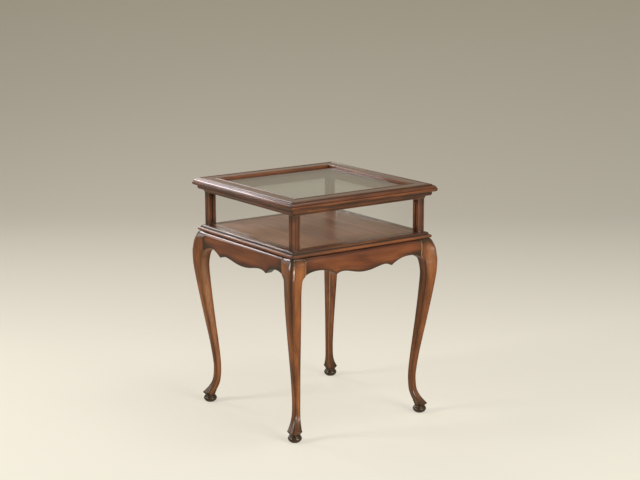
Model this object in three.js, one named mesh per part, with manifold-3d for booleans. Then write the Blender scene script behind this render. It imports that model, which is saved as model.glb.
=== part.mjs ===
// A square display table: a glazed show case with a hinged glass lid, carried on four cabriole legs.
// Millimetres, +Z up. The origin is on the floor under the middle of the table, and the front faces -Y.
// Profiles are drawn in (u, z), where u is the distance outwards from the table's middle.
import * as THREE from 'three';
import { mergeVertices } from 'three/addons/utils/BufferGeometryUtils.js';
import Module from 'manifold-3d';

const wasm = await Module();
wasm.setup();

// Heights of the table's layers, from the top down
const TABLE_HEIGHT = 640;
const LID_THICKNESS = 20.5;
const LID_GAP = 1.5;
const TOP_RAIL_HEIGHT = 17;
const WINDOW_HEIGHT = 92;
const BASE_MOULDING_HEIGHT = 17;
const LID_UNDERSIDE = TABLE_HEIGHT - LID_THICKNESS;
const CASE_TOP = LID_UNDERSIDE - LID_GAP;
const WINDOW_TOP = CASE_TOP - TOP_RAIL_HEIGHT;
const CASE_FLOOR_TOP = WINDOW_TOP - WINDOW_HEIGHT;
const LEG_TOP = CASE_FLOOR_TOP - BASE_MOULDING_HEIGHT;

// How far each layer reaches out from the middle, each set back from the lid's nosing
const LID_WIDTH = 478;
const TOP_RAIL_SETBACK = 10.8;
const POST_SETBACK = 25;
const BASE_MOULDING_SETBACK = 10.2;
const APRON_SETBACK = 5;
const KNEE_OVERHANG = 4.2;
const LID_REACH = LID_WIDTH / 2;
const TOP_RAIL_REACH = LID_REACH - TOP_RAIL_SETBACK;
const POST_REACH = LID_REACH - POST_SETBACK;
const BASE_MOULDING_REACH = LID_REACH - BASE_MOULDING_SETBACK;
const APRON_REACH = LID_REACH - APRON_SETBACK;
const KNEE_REACH = LID_REACH + KNEE_OVERHANG;

// Clearance between two pieces where one is let into the other, and the overrun of a cut past a face
const FIT_GAP = 0.3;
const CUT_OVERRUN = 1;
const CURVE_STEPS = 4;

// Lid frame: four mitred rails with a bead at the sight edge and a rounded nosing
const LID_RAIL_WIDTH = 52;
const LIP_THICKNESS = 6;
const RABBET_WIDTH = 8;
const SIGHT_BEAD_WIDTH = 5;
const SIGHT_BEAD_HEIGHT = 2.8;
const QUIRK_WIDTH = 1.6;
const QUIRK_DEPTH = 1.8;
const FIELD_RECESS = 0.9;
const EDGE_BEAD_WIDTH = 8.6;
const NOSE_WIDTH = 10.4;
const NOSE_SHOULDER_DROP = 2.8;
const NOSE_TIP_DROP = 13.4;
const NOSE_RETURN = 8;
const NOSE_QUIRK_RISE = 2.2;
const NOSE_QUIRK_DEPTH = 2.6;
const NOSE_QUIRK_MOUTH = 0.7;
const NOSE_QUIRK_LIP = 1.2;
const NOSE_CURVE_SHARES = [0.62, 0.14];
const SIGHT_REACH = LID_REACH - LID_RAIL_WIDTH;
const LID_GLASS_THICKNESS = 4;
const LID_GLASS_TOP = TABLE_HEIGHT - LIP_THICKNESS;
const LID_GLASS_BOTTOM = LID_GLASS_TOP - LID_GLASS_THICKNESS;
const GLAZING_BEAD_HEIGHT = 9;
const GLAZING_BEAD_FOOT = 3;

// Case rails, posts and side glass
const POST_SIZE = 22;
const POST_INNER = POST_REACH - POST_SIZE;
const POST_QUIRK_INSET = 5.6;
const POST_QUIRK_WIDTH = 1.4;
const POST_QUIRK_DEPTH = 1.1;
const POST_REED_CROWN = 0.7;
const POST_EDGE_ROUND = 1.6;
const SIDE_GLASS_THICKNESS = 3;
const SIDE_GLASS_PLANE = POST_REACH - POST_SIZE / 2;
const GROOVE_HALF = SIDE_GLASS_THICKNESS / 2 + FIT_GAP;
const POST_GROOVE_DEPTH = 4;
const TOP_GROOVE_DEPTH = 6;
const BASE_GROOVE_DEPTH = 5;
const TOP_RAIL_FILLET = 3;
const TOP_RAIL_FOOT = 0.8;

// Base moulding and the case floor let into it
const FLOOR_THICKNESS = 9;
const MOULDING_SHELF = 22;
const OVOLO_WIDTH = 6.2;
const OVOLO_HEIGHT = 5.6;
const MOULDING_LEDGE = 2.5;
const MOULDING_STEP_DROP = 1.4;
const MOULDING_STEP_WIDTH = 1.2;
const TORUS_CLEARANCE = 1.2;
const UNDERCUT_DEPTH = 5.5;
const TORUS_RETURN = 1.5;

// Aprons: the half outline of the scalloped lower edge, from the middle out to the leg
const APRON_DEPTH = 60;
const APRON_THICKNESS = 22;
const APRON_ARCH_RISE = 23;
const APRON_TOP_INSET = 10;
const APRON_SHOULDER = 13;
const APRON_BOTTOM_INSET = 2.4;
const TENON_THICKNESS = 8;
const TENON_LENGTH = 12;
const TENON_HEIGHT = 24;
const TENON_TOP_DROP = 8;
const TENON_INSET = 3;
// Each row is a curve: control points, then its end, as shares of the half length and of the arch rise
const FRONT_EDGE_SHARES = [
  [[0.15, 0], [0.22, 0.36], [0.35, 0.46]],
  [[0.42, 0.45], [0.45, 0.36], [0.48, 0.165]],
  [[0.56, 0.66], [0.66, 1], [0.79, 1]],
  [[0.88, 1], [0.95, 0.86], [1, 0.62]],
];
// The aprons at the sides have a wider middle, with their points nearer to the legs
const SIDE_EDGE_SHARES = [
  [[0.19, 0], [0.27, 0.36], [0.432, 0.46]],
  [[0.51, 0.45], [0.55, 0.36], [0.585, 0.165]],
  [[0.66, 0.62], [0.73, 0.97], [0.83, 0.97]],
  [[0.91, 0.97], [0.96, 0.86], [1, 0.62]],
];
const APRON_EDGE_STEPS = 5;
const APRON_FACE_SAMPLES = 24;

// Cabriole legs: square in section, swept out at the knee and in at the ankle along the diagonal
const KNEE_WIDTH = 54;
const LEG_SWEEP = 40.6;
const ANKLE_REACH = KNEE_REACH - LEG_SWEEP;
const OUTER_ROUND_SHARE = 0.24;
const EDGE_ROUND_SHARE = 0.08;
const SEAM_ROUND_SHARE = 0.03;
const SEAM_LIP = 1.5;
const FACE_BEND_SHARE = 0.4;
const FACE_CROWN = 0.8;
const TOE_TILT = 3.4;
const PAD_PLACE_SHARE = 0.46;
// The knee block's rounded top: height on the leg and reach past the ankle
const KNEE_BLOCK_SHARES = [
  [1, 0.605],
  [0.99, 0.715],
  [0.9745, 0.805],
  [0.96, 0.875],
  [0.9415, 0.937],
  [0.908, 0.99],
];
// The leg's S curve: height, reach past the ankle, width, crown of the faces, tilt of the section,
// and how much of the knee block's fall towards the aprons is left in the outer faces
const LEG_CURVE_SHARES = [
  [0.888, 1, 0.8, 0.5, 0, 0.8],
  [0.853, 0.99, 0.712, 1, 0, 0.5],
  [0.803, 0.95, 0.648, 1, 0, 0.26],
  [0.7315, 0.845, 0.6, 1, 0, 0.1],
  [0.6505, 0.71, 0.546, 1, 0, 0.03],
  [0.5485, 0.53, 0.48, 1, 0, 0],
  [0.4475, 0.343, 0.415, 1, 0, 0],
  [0.3455, 0.16, 0.357, 1, 0, 0],
  [0.2475, 0.028, 0.322, 0.8, 0, 0],
  [0.193, 0, 0.315, 0.6, 0, 0],
  [0.134, 0.06, 0.333, 0, 0.1, 0],
  [0.0965, 0.241, 0.407, -0.8, 0.4, 0],
  [0.0668, 0.499, 0.525, -1.6, 0.85, 0],
  [0.0587, 0.586, 0.58, -1.8, 1, 0],
];
const LEG_CURVE_STEPS = 2;
const OUTER_ROUND_STEPS = 4;
const EDGE_ROUND_STEPS = 2;
const TOE_EDGE_THICKNESS = 2.2;
const TOE_EDGE_INSET = 0.5;

// Turned pad under each foot, from the neck down: radius and height of each ring of the profile
const PAD_RADIUS = 18.5;
const PAD_HEIGHT = 18.5;
const PAD_RING_SHARES = [
  [0.68, 1],
  [0.72, 0.95],
  [0.85, 0.9],
  [0.885, 0.83],
  [0.86, 0.77],
  [0.93, 0.73],
  [1, 0.6],
  [0.99, 0.46],
  [0.87, 0.22],
  [0.62, 0],
];

// Corner blocks, with one screw each up into the base moulding
const CORNER_BLOCK_HEIGHT = 30;
const CORNER_BLOCK_ARM = 72;
const CASE_SCREW_LENGTH = 37;
const CASE_SCREW_RADIUS = 2;
const CASE_SCREW_HEAD_RADIUS = 4;
const CASE_SCREW_HEAD_HEIGHT = 2.4;
const CASE_SCREW_INSET = 10;

// Two butt hinges let into the back of the case and of the lid
const HINGE_SPACING_SHARE = 0.628;
const HINGE_SPACING = HINGE_SPACING_SHARE * LID_WIDTH;
const HINGE_LENGTH = 40;
const HINGE_LEAF_WIDTH = 22;
const HINGE_LEAF_THICKNESS = 1.1;
const HINGE_AXIS_OVERHANG = 0.8;
const HINGE_KNUCKLE_RADIUS = 2.6;
const HINGE_PIN_RADIUS = 1.3;
const HINGE_PIN_HEAD_RADIUS = 2.3;
const HINGE_PIN_HEAD_LENGTH = 1;
const HINGE_MIDDLE_KNUCKLE_SHARE = 0.335;
const HINGE_MIDDLE_KNUCKLE = HINGE_MIDDLE_KNUCKLE_SHARE * HINGE_LENGTH;
const HINGE_SCREW_SPACING_SHARE = 0.6;
const HINGE_SCREW_SPACING = HINGE_SCREW_SPACING_SHARE * HINGE_LENGTH;
const HINGE_SCREW_INSET = 15;
const HINGE_SCREW_HEAD_RADIUS = 2.4;
const HINGE_SCREW_RADIUS = 1.3;
const HINGE_SCREW_LENGTH = 10;
const HINGE_SCREW_POINT = 2;
const HINGE_SCREW_CONE = 1.1;
const HINGE_SIDES = 16;
const SCREW_SIDES = 12;

// Soft bumpers under the lid's front corners
const BUMPER_RADIUS = 5;
const BUMPER_SPACING_SHARE = 0.837;
const BUMPER_SPACING = BUMPER_SPACING_SHARE * LID_WIDTH;
const BUMPER_SIDES = 20;

const QUARTER_TURN = Math.PI / 2;
const QUARTER_TURN_DEGREES = 90;
const SIDES = ['front', 'right', 'back', 'left'];
const CORNERS = ['back_right', 'back_left', 'front_left', 'front_right'];

function material(color, roughness, metalness) {
  return new THREE.MeshStandardMaterial({ color, roughness, metalness });
}

const FINISHES = {
  lidWood: () => material(0x4f2b1e, 0.32, 0),
  caseWood: () => material(0x5c3122, 0.35, 0),
  legWood: () => material(0x7a4325, 0.34, 0),
  apronWood: () => material(0x6f3721, 0.34, 0),
  floorVeneer: () => material(0x8c7262, 0.4, 0),
  hiddenWood: () => material(0xb89468, 0.8, 0),
  glass: () => {
    const glass = material(0xdfe8e4, 0.03, 0);
    glass.transparent = true;
    glass.opacity = 0.25;
    return glass;
  },
  brass: () => material(0xb08d45, 0.35, 0.9),
  steel: () => material(0x8f9094, 0.4, 0.9),
  felt: () => material(0x2b2520, 0.95, 0),
};

// Solids

function toManifold(geometry) {
  const bare = geometry.clone();
  bare.deleteAttribute('normal');
  bare.deleteAttribute('uv');
  const merged = mergeVertices(bare);
  const vertProperties = new Float32Array(merged.attributes.position.array);
  const triVerts = new Uint32Array(merged.index.array);
  return new wasm.Manifold(new wasm.Mesh({ numProp: 3, vertProperties, triVerts }));
}

function fromManifold(solid) {
  const result = solid.getMesh();
  const geometry = new THREE.BufferGeometry();
  geometry.setAttribute('position', new THREE.BufferAttribute(result.vertProperties, 3));
  geometry.setIndex(new THREE.BufferAttribute(result.triVerts, 1));
  geometry.computeVertexNormals();
  return geometry;
}

// The geometry less every cutter
function cutBy(geometry, cutters) {
  let solid = toManifold(geometry);
  for (const cutter of cutters) {
    solid = solid.subtract(toManifold(cutter));
  }
  return fromManifold(solid);
}

// A box between two corners
function boxBetween(low, high) {
  const size = high.map((value, axis) => value - low[axis]);
  const box = new THREE.BoxGeometry(size[0], size[1], size[2]);
  box.translate(low[0] + size[0] / 2, low[1] + size[1] / 2, low[2] + size[2] / 2);
  return box;
}

// A cylinder along X, centred at x
function barrelAlongX(radius, length, x) {
  const barrel = new THREE.CylinderGeometry(radius, radius, length, HINGE_SIDES);
  barrel.rotateZ(QUARTER_TURN);
  barrel.translate(x, 0, 0);
  return barrel;
}

// A turned solid about Z from rows of radius and height that run from one end to the other
function turned(rows, sides) {
  const points = rows.map(([radius, height]) => new THREE.Vector2(radius, height));
  const solid = new THREE.LatheGeometry(points, sides);
  solid.rotateX(QUARTER_TURN);
  return solid;
}

// A closed solid through rings of equal length, running from the top ring down, with flat ends
function loftDown(rings) {
  const count = rings[0].length;
  const positions = rings.flat().flatMap((point) => point.toArray());
  const index = [];
  for (let ring = 0; ring < rings.length - 1; ring += 1) {
    for (let side = 0; side < count; side += 1) {
      const next = (side + 1) % count;
      const upper = ring * count;
      const lower = upper + count;
      index.push(upper + side, lower + side, lower + next);
      index.push(upper + side, lower + next, upper + next);
    }
  }
  const last = (rings.length - 1) * count;
  for (let side = 1; side < count - 1; side += 1) {
    index.push(0, side, side + 1);
    index.push(last, last + side + 1, last + side);
  }
  const geometry = new THREE.BufferGeometry();
  geometry.setAttribute('position', new THREE.Float32BufferAttribute(positions, 3));
  geometry.setIndex(index);
  geometry.computeVertexNormals();
  return geometry;
}

// A bar along the front whose profile's u runs outwards, with a half length that may depend on u
function barAlongFront(profile, halfLengthAt) {
  const geometry = new THREE.ExtrudeGeometry(profile, {
    depth: 1,
    bevelEnabled: false,
    curveSegments: CURVE_STEPS,
  });
  const position = geometry.attributes.position;
  for (let i = 0; i < position.count; i += 1) {
    const u = position.getX(i);
    const z = position.getY(i);
    const end = position.getZ(i);
    position.setXYZ(i, halfLengthAt(u) * (1 - 2 * end), -u, z);
  }
  geometry.computeVertexNormals();
  return geometry;
}

// A rail with both ends mitred at 45 degrees, a hair short so that two mitres clear each other
function mitredRail(profile) {
  return barAlongFront(profile, (u) => u - FIT_GAP / 2);
}

// Profiles

function lidRailProfile() {
  const beadTop = TABLE_HEIGHT;
  const quirk = beadTop - QUIRK_DEPTH;
  const field = beadTop - FIELD_RECESS;
  const sightBeadEnd = SIGHT_REACH + SIGHT_BEAD_WIDTH;
  const noseStart = LID_REACH - NOSE_WIDTH;
  const edgeBeadStart = noseStart - EDGE_BEAD_WIDTH;
  const shoulder = beadTop - NOSE_SHOULDER_DROP;
  const tip = beadTop - NOSE_TIP_DROP;
  const noseQuirk = tip + NOSE_QUIRK_RISE;
  const noseCurveU = noseStart + NOSE_WIDTH * NOSE_CURVE_SHARES[0];
  const noseCurveZ = shoulder - (shoulder - tip) * NOSE_CURVE_SHARES[1];
  const profile = new THREE.Shape();
  profile.moveTo(SIGHT_REACH, LID_GLASS_TOP);
  profile.lineTo(SIGHT_REACH, beadTop - SIGHT_BEAD_HEIGHT);
  profile.quadraticCurveTo(SIGHT_REACH, beadTop, SIGHT_REACH + SIGHT_BEAD_WIDTH / 2, beadTop);
  profile.quadraticCurveTo(sightBeadEnd, beadTop, sightBeadEnd, quirk);
  profile.lineTo(sightBeadEnd + QUIRK_WIDTH, quirk);
  profile.lineTo(sightBeadEnd + QUIRK_WIDTH, field);
  profile.lineTo(edgeBeadStart - QUIRK_WIDTH, field);
  profile.lineTo(edgeBeadStart - QUIRK_WIDTH, quirk);
  profile.lineTo(edgeBeadStart, quirk);
  profile.quadraticCurveTo(edgeBeadStart, beadTop, edgeBeadStart + EDGE_BEAD_WIDTH / 2, beadTop);
  profile.quadraticCurveTo(noseStart - FIT_GAP, beadTop, noseStart, quirk);
  profile.lineTo(noseStart, shoulder);
  profile.quadraticCurveTo(noseCurveU, noseCurveZ, LID_REACH - NOSE_QUIRK_LIP, noseQuirk + NOSE_QUIRK_MOUTH);
  profile.lineTo(LID_REACH - NOSE_QUIRK_DEPTH, noseQuirk);
  profile.lineTo(LID_REACH, noseQuirk - NOSE_QUIRK_MOUTH);
  profile.lineTo(LID_REACH, tip);
  profile.quadraticCurveTo(LID_REACH, LID_UNDERSIDE, LID_REACH - NOSE_RETURN, LID_UNDERSIDE);
  profile.lineTo(SIGHT_REACH + RABBET_WIDTH, LID_UNDERSIDE);
  profile.lineTo(SIGHT_REACH + RABBET_WIDTH, LID_GLASS_TOP);
  profile.closePath();
  return profile;
}

// A quarter-round strip that holds the lid's glass up against the lip
function glazingBeadProfile() {
  const outer = SIGHT_REACH + RABBET_WIDTH;
  const bottom = LID_GLASS_BOTTOM - GLAZING_BEAD_HEIGHT;
  const profile = new THREE.Shape();
  profile.moveTo(outer, LID_GLASS_BOTTOM);
  profile.lineTo(SIGHT_REACH, LID_GLASS_BOTTOM);
  profile.lineTo(SIGHT_REACH, LID_GLASS_BOTTOM - GLAZING_BEAD_FOOT);
  profile.quadraticCurveTo(SIGHT_REACH, bottom, outer - GLAZING_BEAD_FOOT, bottom);
  profile.lineTo(outer, bottom);
  profile.closePath();
  return profile;
}

function topRailProfile() {
  const fillet = CASE_TOP - TOP_RAIL_FILLET;
  const grooveTop = WINDOW_TOP + TOP_GROOVE_DEPTH;
  const profile = new THREE.Shape();
  profile.moveTo(POST_INNER, CASE_TOP);
  profile.lineTo(POST_INNER, WINDOW_TOP);
  profile.lineTo(SIDE_GLASS_PLANE - GROOVE_HALF, WINDOW_TOP);
  profile.lineTo(SIDE_GLASS_PLANE - GROOVE_HALF, grooveTop);
  profile.lineTo(SIDE_GLASS_PLANE + GROOVE_HALF, grooveTop);
  profile.lineTo(SIDE_GLASS_PLANE + GROOVE_HALF, WINDOW_TOP);
  profile.lineTo(POST_REACH + TOP_RAIL_FOOT, WINDOW_TOP);
  const middleU = (POST_REACH + TOP_RAIL_FOOT + TOP_RAIL_REACH) / 2;
  const middleZ = (WINDOW_TOP + fillet) / 2;
  profile.quadraticCurveTo(POST_REACH + TOP_RAIL_FOOT, middleZ, middleU, middleZ);
  profile.quadraticCurveTo(TOP_RAIL_REACH, middleZ, TOP_RAIL_REACH, fillet);
  profile.lineTo(TOP_RAIL_REACH, CASE_TOP);
  profile.closePath();
  return profile;
}

function baseMouldingProfile() {
  const shelf = CASE_FLOOR_TOP - FLOOR_THICKNESS;
  const inner = POST_INNER - MOULDING_SHELF;
  const grooveBottom = CASE_FLOOR_TOP - BASE_GROOVE_DEPTH;
  const ovoloStart = POST_REACH + MOULDING_LEDGE;
  const ovoloEnd = ovoloStart + OVOLO_WIDTH;
  const ovoloBottom = CASE_FLOOR_TOP - OVOLO_HEIGHT;
  const torusTop = ovoloBottom - MOULDING_STEP_DROP;
  const torusBottom = LEG_TOP + TORUS_CLEARANCE;
  const torusStart = ovoloEnd + MOULDING_STEP_WIDTH;
  const torusMiddle = (torusTop + torusBottom) / 2;
  const undercut = BASE_MOULDING_REACH - UNDERCUT_DEPTH;
  const profile = new THREE.Shape();
  profile.moveTo(inner, LEG_TOP);
  profile.lineTo(undercut, LEG_TOP);
  profile.lineTo(undercut, torusBottom);
  profile.lineTo(undercut + TORUS_RETURN, torusBottom);
  profile.quadraticCurveTo(BASE_MOULDING_REACH, torusBottom, BASE_MOULDING_REACH, torusMiddle);
  profile.quadraticCurveTo(BASE_MOULDING_REACH, torusTop, torusStart, torusTop);
  profile.lineTo(ovoloEnd, torusTop);
  profile.lineTo(ovoloEnd, ovoloBottom);
  profile.quadraticCurveTo(ovoloEnd, CASE_FLOOR_TOP, ovoloStart, CASE_FLOOR_TOP);
  profile.lineTo(SIDE_GLASS_PLANE + GROOVE_HALF, CASE_FLOOR_TOP);
  profile.lineTo(SIDE_GLASS_PLANE + GROOVE_HALF, grooveBottom);
  profile.lineTo(SIDE_GLASS_PLANE - GROOVE_HALF, grooveBottom);
  profile.lineTo(SIDE_GLASS_PLANE - GROOVE_HALF, CASE_FLOOR_TOP);
  profile.lineTo(POST_INNER, CASE_FLOOR_TOP);
  profile.lineTo(POST_INNER, shelf);
  profile.lineTo(inner, shelf);
  profile.closePath();
  return profile;
}

// Case pieces

// Plan of the post at the corner where x and y are positive: a reeded band between quirks on each
// outer face, and a groove for the glass in each inner face
function postPlan() {
  const half = POST_SIZE / 2;
  const quirkNear = half - POST_QUIRK_INSET;
  const quirkFar = quirkNear - POST_QUIRK_WIDTH;
  const floor = half - POST_QUIRK_DEPTH;
  const reed = half - POST_REED_CROWN;
  const round = half - POST_EDGE_ROUND;
  // One outer face, as distance out and distance along
  const face = [
    [half, -round],
    [half, -quirkNear],
    [floor, -quirkNear + POST_QUIRK_WIDTH / 2],
    [reed, -quirkFar],
    [half, -quirkFar / 2],
    [half, quirkFar / 2],
    [reed, quirkFar],
    [floor, quirkNear - POST_QUIRK_WIDTH / 2],
    [half, quirkNear],
    [half, round],
  ];
  const plan = new THREE.Shape();
  plan.moveTo(-half, -half);
  plan.lineTo(-GROOVE_HALF, -half);
  plan.lineTo(-GROOVE_HALF, -half + POST_GROOVE_DEPTH);
  plan.lineTo(GROOVE_HALF, -half + POST_GROOVE_DEPTH);
  plan.lineTo(GROOVE_HALF, -half);
  plan.lineTo(round, -half);
  for (const [out, along] of face) {
    plan.lineTo(out, along);
  }
  for (const [out, along] of face.slice().reverse()) {
    plan.lineTo(along, out);
  }
  plan.lineTo(-half, round);
  plan.lineTo(-half, GROOVE_HALF);
  plan.lineTo(-half + POST_GROOVE_DEPTH, GROOVE_HALF);
  plan.lineTo(-half + POST_GROOVE_DEPTH, -GROOVE_HALF);
  plan.lineTo(-half, -GROOVE_HALF);
  plan.closePath();
  return plan;
}

function postGeometry() {
  const post = new THREE.ExtrudeGeometry(postPlan(), { depth: WINDOW_HEIGHT, bevelEnabled: false });
  post.translate(SIDE_GLASS_PLANE, SIDE_GLASS_PLANE, CASE_FLOOR_TOP);
  return post;
}

function sideGlassGeometry() {
  const halfWidth = POST_INNER + POST_GROOVE_DEPTH - FIT_GAP;
  const halfThickness = SIDE_GLASS_THICKNESS / 2;
  const bottom = CASE_FLOOR_TOP - BASE_GROOVE_DEPTH;
  const top = WINDOW_TOP + TOP_GROOVE_DEPTH - FIT_GAP;
  return boxBetween(
    [-halfWidth, -SIDE_GLASS_PLANE - halfThickness, bottom],
    [halfWidth, -SIDE_GLASS_PLANE + halfThickness, top],
  );
}

function caseFloorGeometry() {
  const half = POST_INNER - FIT_GAP;
  return boxBetween([-half, -half, CASE_FLOOR_TOP - FLOOR_THICKNESS], [half, half, CASE_FLOOR_TOP]);
}

function lidGlassGeometry() {
  const half = SIGHT_REACH + RABBET_WIDTH - FIT_GAP;
  return boxBetween([-half, -half, LID_GLASS_BOTTOM], [half, half, LID_GLASS_TOP]);
}

// Screws and the holes that clear them

// A pan-head screw that points up, with its seat at height 0
function caseScrewGeometry(gap) {
  const shank = CASE_SCREW_RADIUS + gap;
  const head = CASE_SCREW_HEAD_RADIUS;
  const rows = [
    [0, -CASE_SCREW_HEAD_HEIGHT],
    [head / 2, -CASE_SCREW_HEAD_HEIGHT],
    [head, -CASE_SCREW_HEAD_HEIGHT / 2],
    [head, 0],
    [shank, 0],
    [shank, CASE_SCREW_LENGTH - CASE_SCREW_RADIUS + gap],
    [0, CASE_SCREW_LENGTH + gap],
  ];
  return turned(rows, SCREW_SIDES);
}

// A countersunk screw that points down, with the top of its head at height 0
function hingeScrewGeometry(gap) {
  const head = HINGE_SCREW_HEAD_RADIUS + gap;
  const shank = HINGE_SCREW_RADIUS + gap;
  const rows = [
    [0, -HINGE_SCREW_LENGTH - gap],
    [shank, -HINGE_SCREW_LENGTH + HINGE_SCREW_POINT],
    [shank, -HINGE_SCREW_CONE],
    [head, 0],
  ];
  if (gap > 0) {
    rows.push([head, CUT_OVERRUN]);
    rows.push([0, CUT_OVERRUN]);
  } else {
    rows.push([0, 0]);
  }
  return turned(rows, SCREW_SIDES);
}

const CASE_SCREW_SEAT = LEG_TOP - CORNER_BLOCK_HEIGHT;
const APRON_INNER = APRON_REACH - APRON_THICKNESS;
const CASE_SCREW_OUT = APRON_INNER - CASE_SCREW_INSET;
const CASE_SCREW_ALONG = APRON_INNER - CORNER_BLOCK_ARM + 2 * CASE_SCREW_INSET;

function baseMouldingGeometry() {
  const hole = caseScrewGeometry(FIT_GAP);
  hole.translate(CASE_SCREW_ALONG, -CASE_SCREW_OUT, CASE_SCREW_SEAT);
  return cutBy(mitredRail(baseMouldingProfile()), [hole]);
}

// Under-frame pieces

const LEG_BLOCK_INNER = KNEE_REACH - KNEE_WIDTH;
const TENON_REACH = APRON_INNER + APRON_THICKNESS / 2 - TENON_INSET;
const TENON_TOP = LEG_TOP - TENON_TOP_DROP;

// The tenon at the apron's right-hand end, or with a gap the mortise that clears it
function tenonBox(gap) {
  const half = TENON_THICKNESS / 2 + gap;
  return boxBetween(
    [LEG_BLOCK_INNER - CUT_OVERRUN, -TENON_REACH - half, TENON_TOP - TENON_HEIGHT - gap],
    [LEG_BLOCK_INNER + TENON_LENGTH + gap, -TENON_REACH + half, TENON_TOP + gap],
  );
}

// Half the apron's lower edge as points of x and height above the lowest point
function apronHalfEdge(edgeShares, halfLength) {
  const edge = new THREE.Path();
  edge.moveTo(0, 0);
  for (const [first, second, end] of edgeShares) {
    edge.bezierCurveTo(
      first[0] * halfLength, first[1] * APRON_ARCH_RISE,
      second[0] * halfLength, second[1] * APRON_ARCH_RISE,
      end[0] * halfLength, end[1] * APRON_ARCH_RISE,
    );
  }
  return edge.getPoints(APRON_EDGE_STEPS);
}

const APRON_LOWEST = LEG_TOP - APRON_DEPTH;
const APRON_FACE_CURVES = [
  new THREE.QuadraticBezierCurve(
    new THREE.Vector2(APRON_REACH - APRON_BOTTOM_INSET, APRON_LOWEST - CUT_OVERRUN),
    new THREE.Vector2(APRON_REACH, (APRON_LOWEST + LEG_TOP) / 2),
    new THREE.Vector2(APRON_REACH, LEG_TOP - APRON_SHOULDER),
  ),
  new THREE.QuadraticBezierCurve(
    new THREE.Vector2(APRON_REACH, LEG_TOP - APRON_SHOULDER),
    new THREE.Vector2(APRON_REACH, LEG_TOP),
    new THREE.Vector2(APRON_REACH - APRON_TOP_INSET, LEG_TOP),
  ),
];

// How far the aprons' bowed outer face reaches at a height
function apronFaceReach(height) {
  const points = APRON_FACE_CURVES.flatMap((curve) => curve.getPoints(APRON_FACE_SAMPLES));
  const above = points.findIndex((point) => point.y >= height);
  const from = points[Math.max(above - 1, 0)];
  const to = points[above];
  const part = to.y > from.y ? (height - from.y) / (to.y - from.y) : 1;
  return from.x + part * (to.x - from.x);
}

// An apron along the front: a bowed section, cut to the scalloped outline, with end tenons
function apronGeometry(edgeShares) {
  const section = new THREE.Shape();
  section.moveTo(APRON_INNER, LEG_TOP);
  section.lineTo(APRON_INNER, APRON_LOWEST - CUT_OVERRUN);
  for (const curve of APRON_FACE_CURVES) {
    for (const point of curve.getPoints(CURVE_STEPS)) {
      section.lineTo(point.x, point.y);
    }
  }
  section.closePath();
  const bar = barAlongFront(section, () => LEG_BLOCK_INNER);

  const edge = apronHalfEdge(edgeShares, LEG_BLOCK_INNER);
  const seam = APRON_LOWEST + edge[edge.length - 1].y;
  const beyond = LEG_BLOCK_INNER + CUT_OVERRUN;
  const outline = new THREE.Shape();
  outline.moveTo(-beyond, seam);
  for (const point of edge.slice(1).reverse()) {
    outline.lineTo(-point.x, APRON_LOWEST + point.y);
  }
  for (const point of edge) {
    outline.lineTo(point.x, APRON_LOWEST + point.y);
  }
  outline.lineTo(beyond, seam);
  outline.lineTo(beyond, LEG_TOP + CUT_OVERRUN);
  outline.lineTo(-beyond, LEG_TOP + CUT_OVERRUN);
  outline.closePath();
  const keep = new THREE.ExtrudeGeometry(outline, { depth: KNEE_REACH, bevelEnabled: false });
  keep.rotateX(QUARTER_TURN);

  const rightTenon = toManifold(tenonBox(0));
  const leftTenon = rightTenon.mirror([1, 0, 0]);
  const board = toManifold(bar).intersect(toManifold(keep));
  return fromManifold(board.add(rightTenon).add(leftTenon));
}

// A row of values on a smooth curve through four neighbouring rows, part of the way between the middle two
function throughRows(before, from, to, after, part) {
  return from.map((start, column) => {
    const end = to[column];
    const rise = end - start;
    const startSlope = (end - before[column]) / 2;
    const endSlope = (after[column] - start) / 2;
    const bend = 3 * rise - 2 * startSlope - endSlope;
    const twist = startSlope + endSlope - 2 * rise;
    return start + part * (startSlope + part * (bend + part * twist));
  });
}

// Rows of height, outer reach, inner reach, face crown, tilt, fall of the outer faces and edge round
function legRows() {
  const block = KNEE_BLOCK_SHARES.map(([height, reach]) => {
    const outer = ANKLE_REACH + reach * LEG_SWEEP;
    const fall = Math.max(outer - apronFaceReach(height * LEG_TOP) - SEAM_LIP, 0);
    return [height * LEG_TOP, outer, LEG_BLOCK_INNER, 0, 0, fall, SEAM_ROUND_SHARE];
  });
  const [blockEnd] = block.slice(-1);
  const blockFall = blockEnd[5];
  const curve = LEG_CURVE_SHARES.map(([height, reach, width, crown, tilt, fall]) => {
    const outer = ANKLE_REACH + reach * LEG_SWEEP;
    const inner = outer - width * KNEE_WIDTH;
    const edgeRound = EDGE_ROUND_SHARE + fall * (SEAM_ROUND_SHARE - EDGE_ROUND_SHARE);
    return [height * LEG_TOP, outer, inner, crown * FACE_CROWN, tilt * TOE_TILT, fall * blockFall, edgeRound];
  });
  const rows = block.slice(0, -1);
  const stations = [blockEnd, ...curve];
  const last = stations.length - 1;
  for (let i = 0; i < last; i += 1) {
    const before = stations[Math.max(i - 1, 0)];
    const after = stations[Math.min(i + 2, last)];
    for (let step = 0; step < LEG_CURVE_STEPS; step += 1) {
      rows.push(throughRows(before, stations[i], stations[i + 1], after, step / LEG_CURVE_STEPS));
    }
  }
  rows.push(stations[last]);
  return rows;
}

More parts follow.
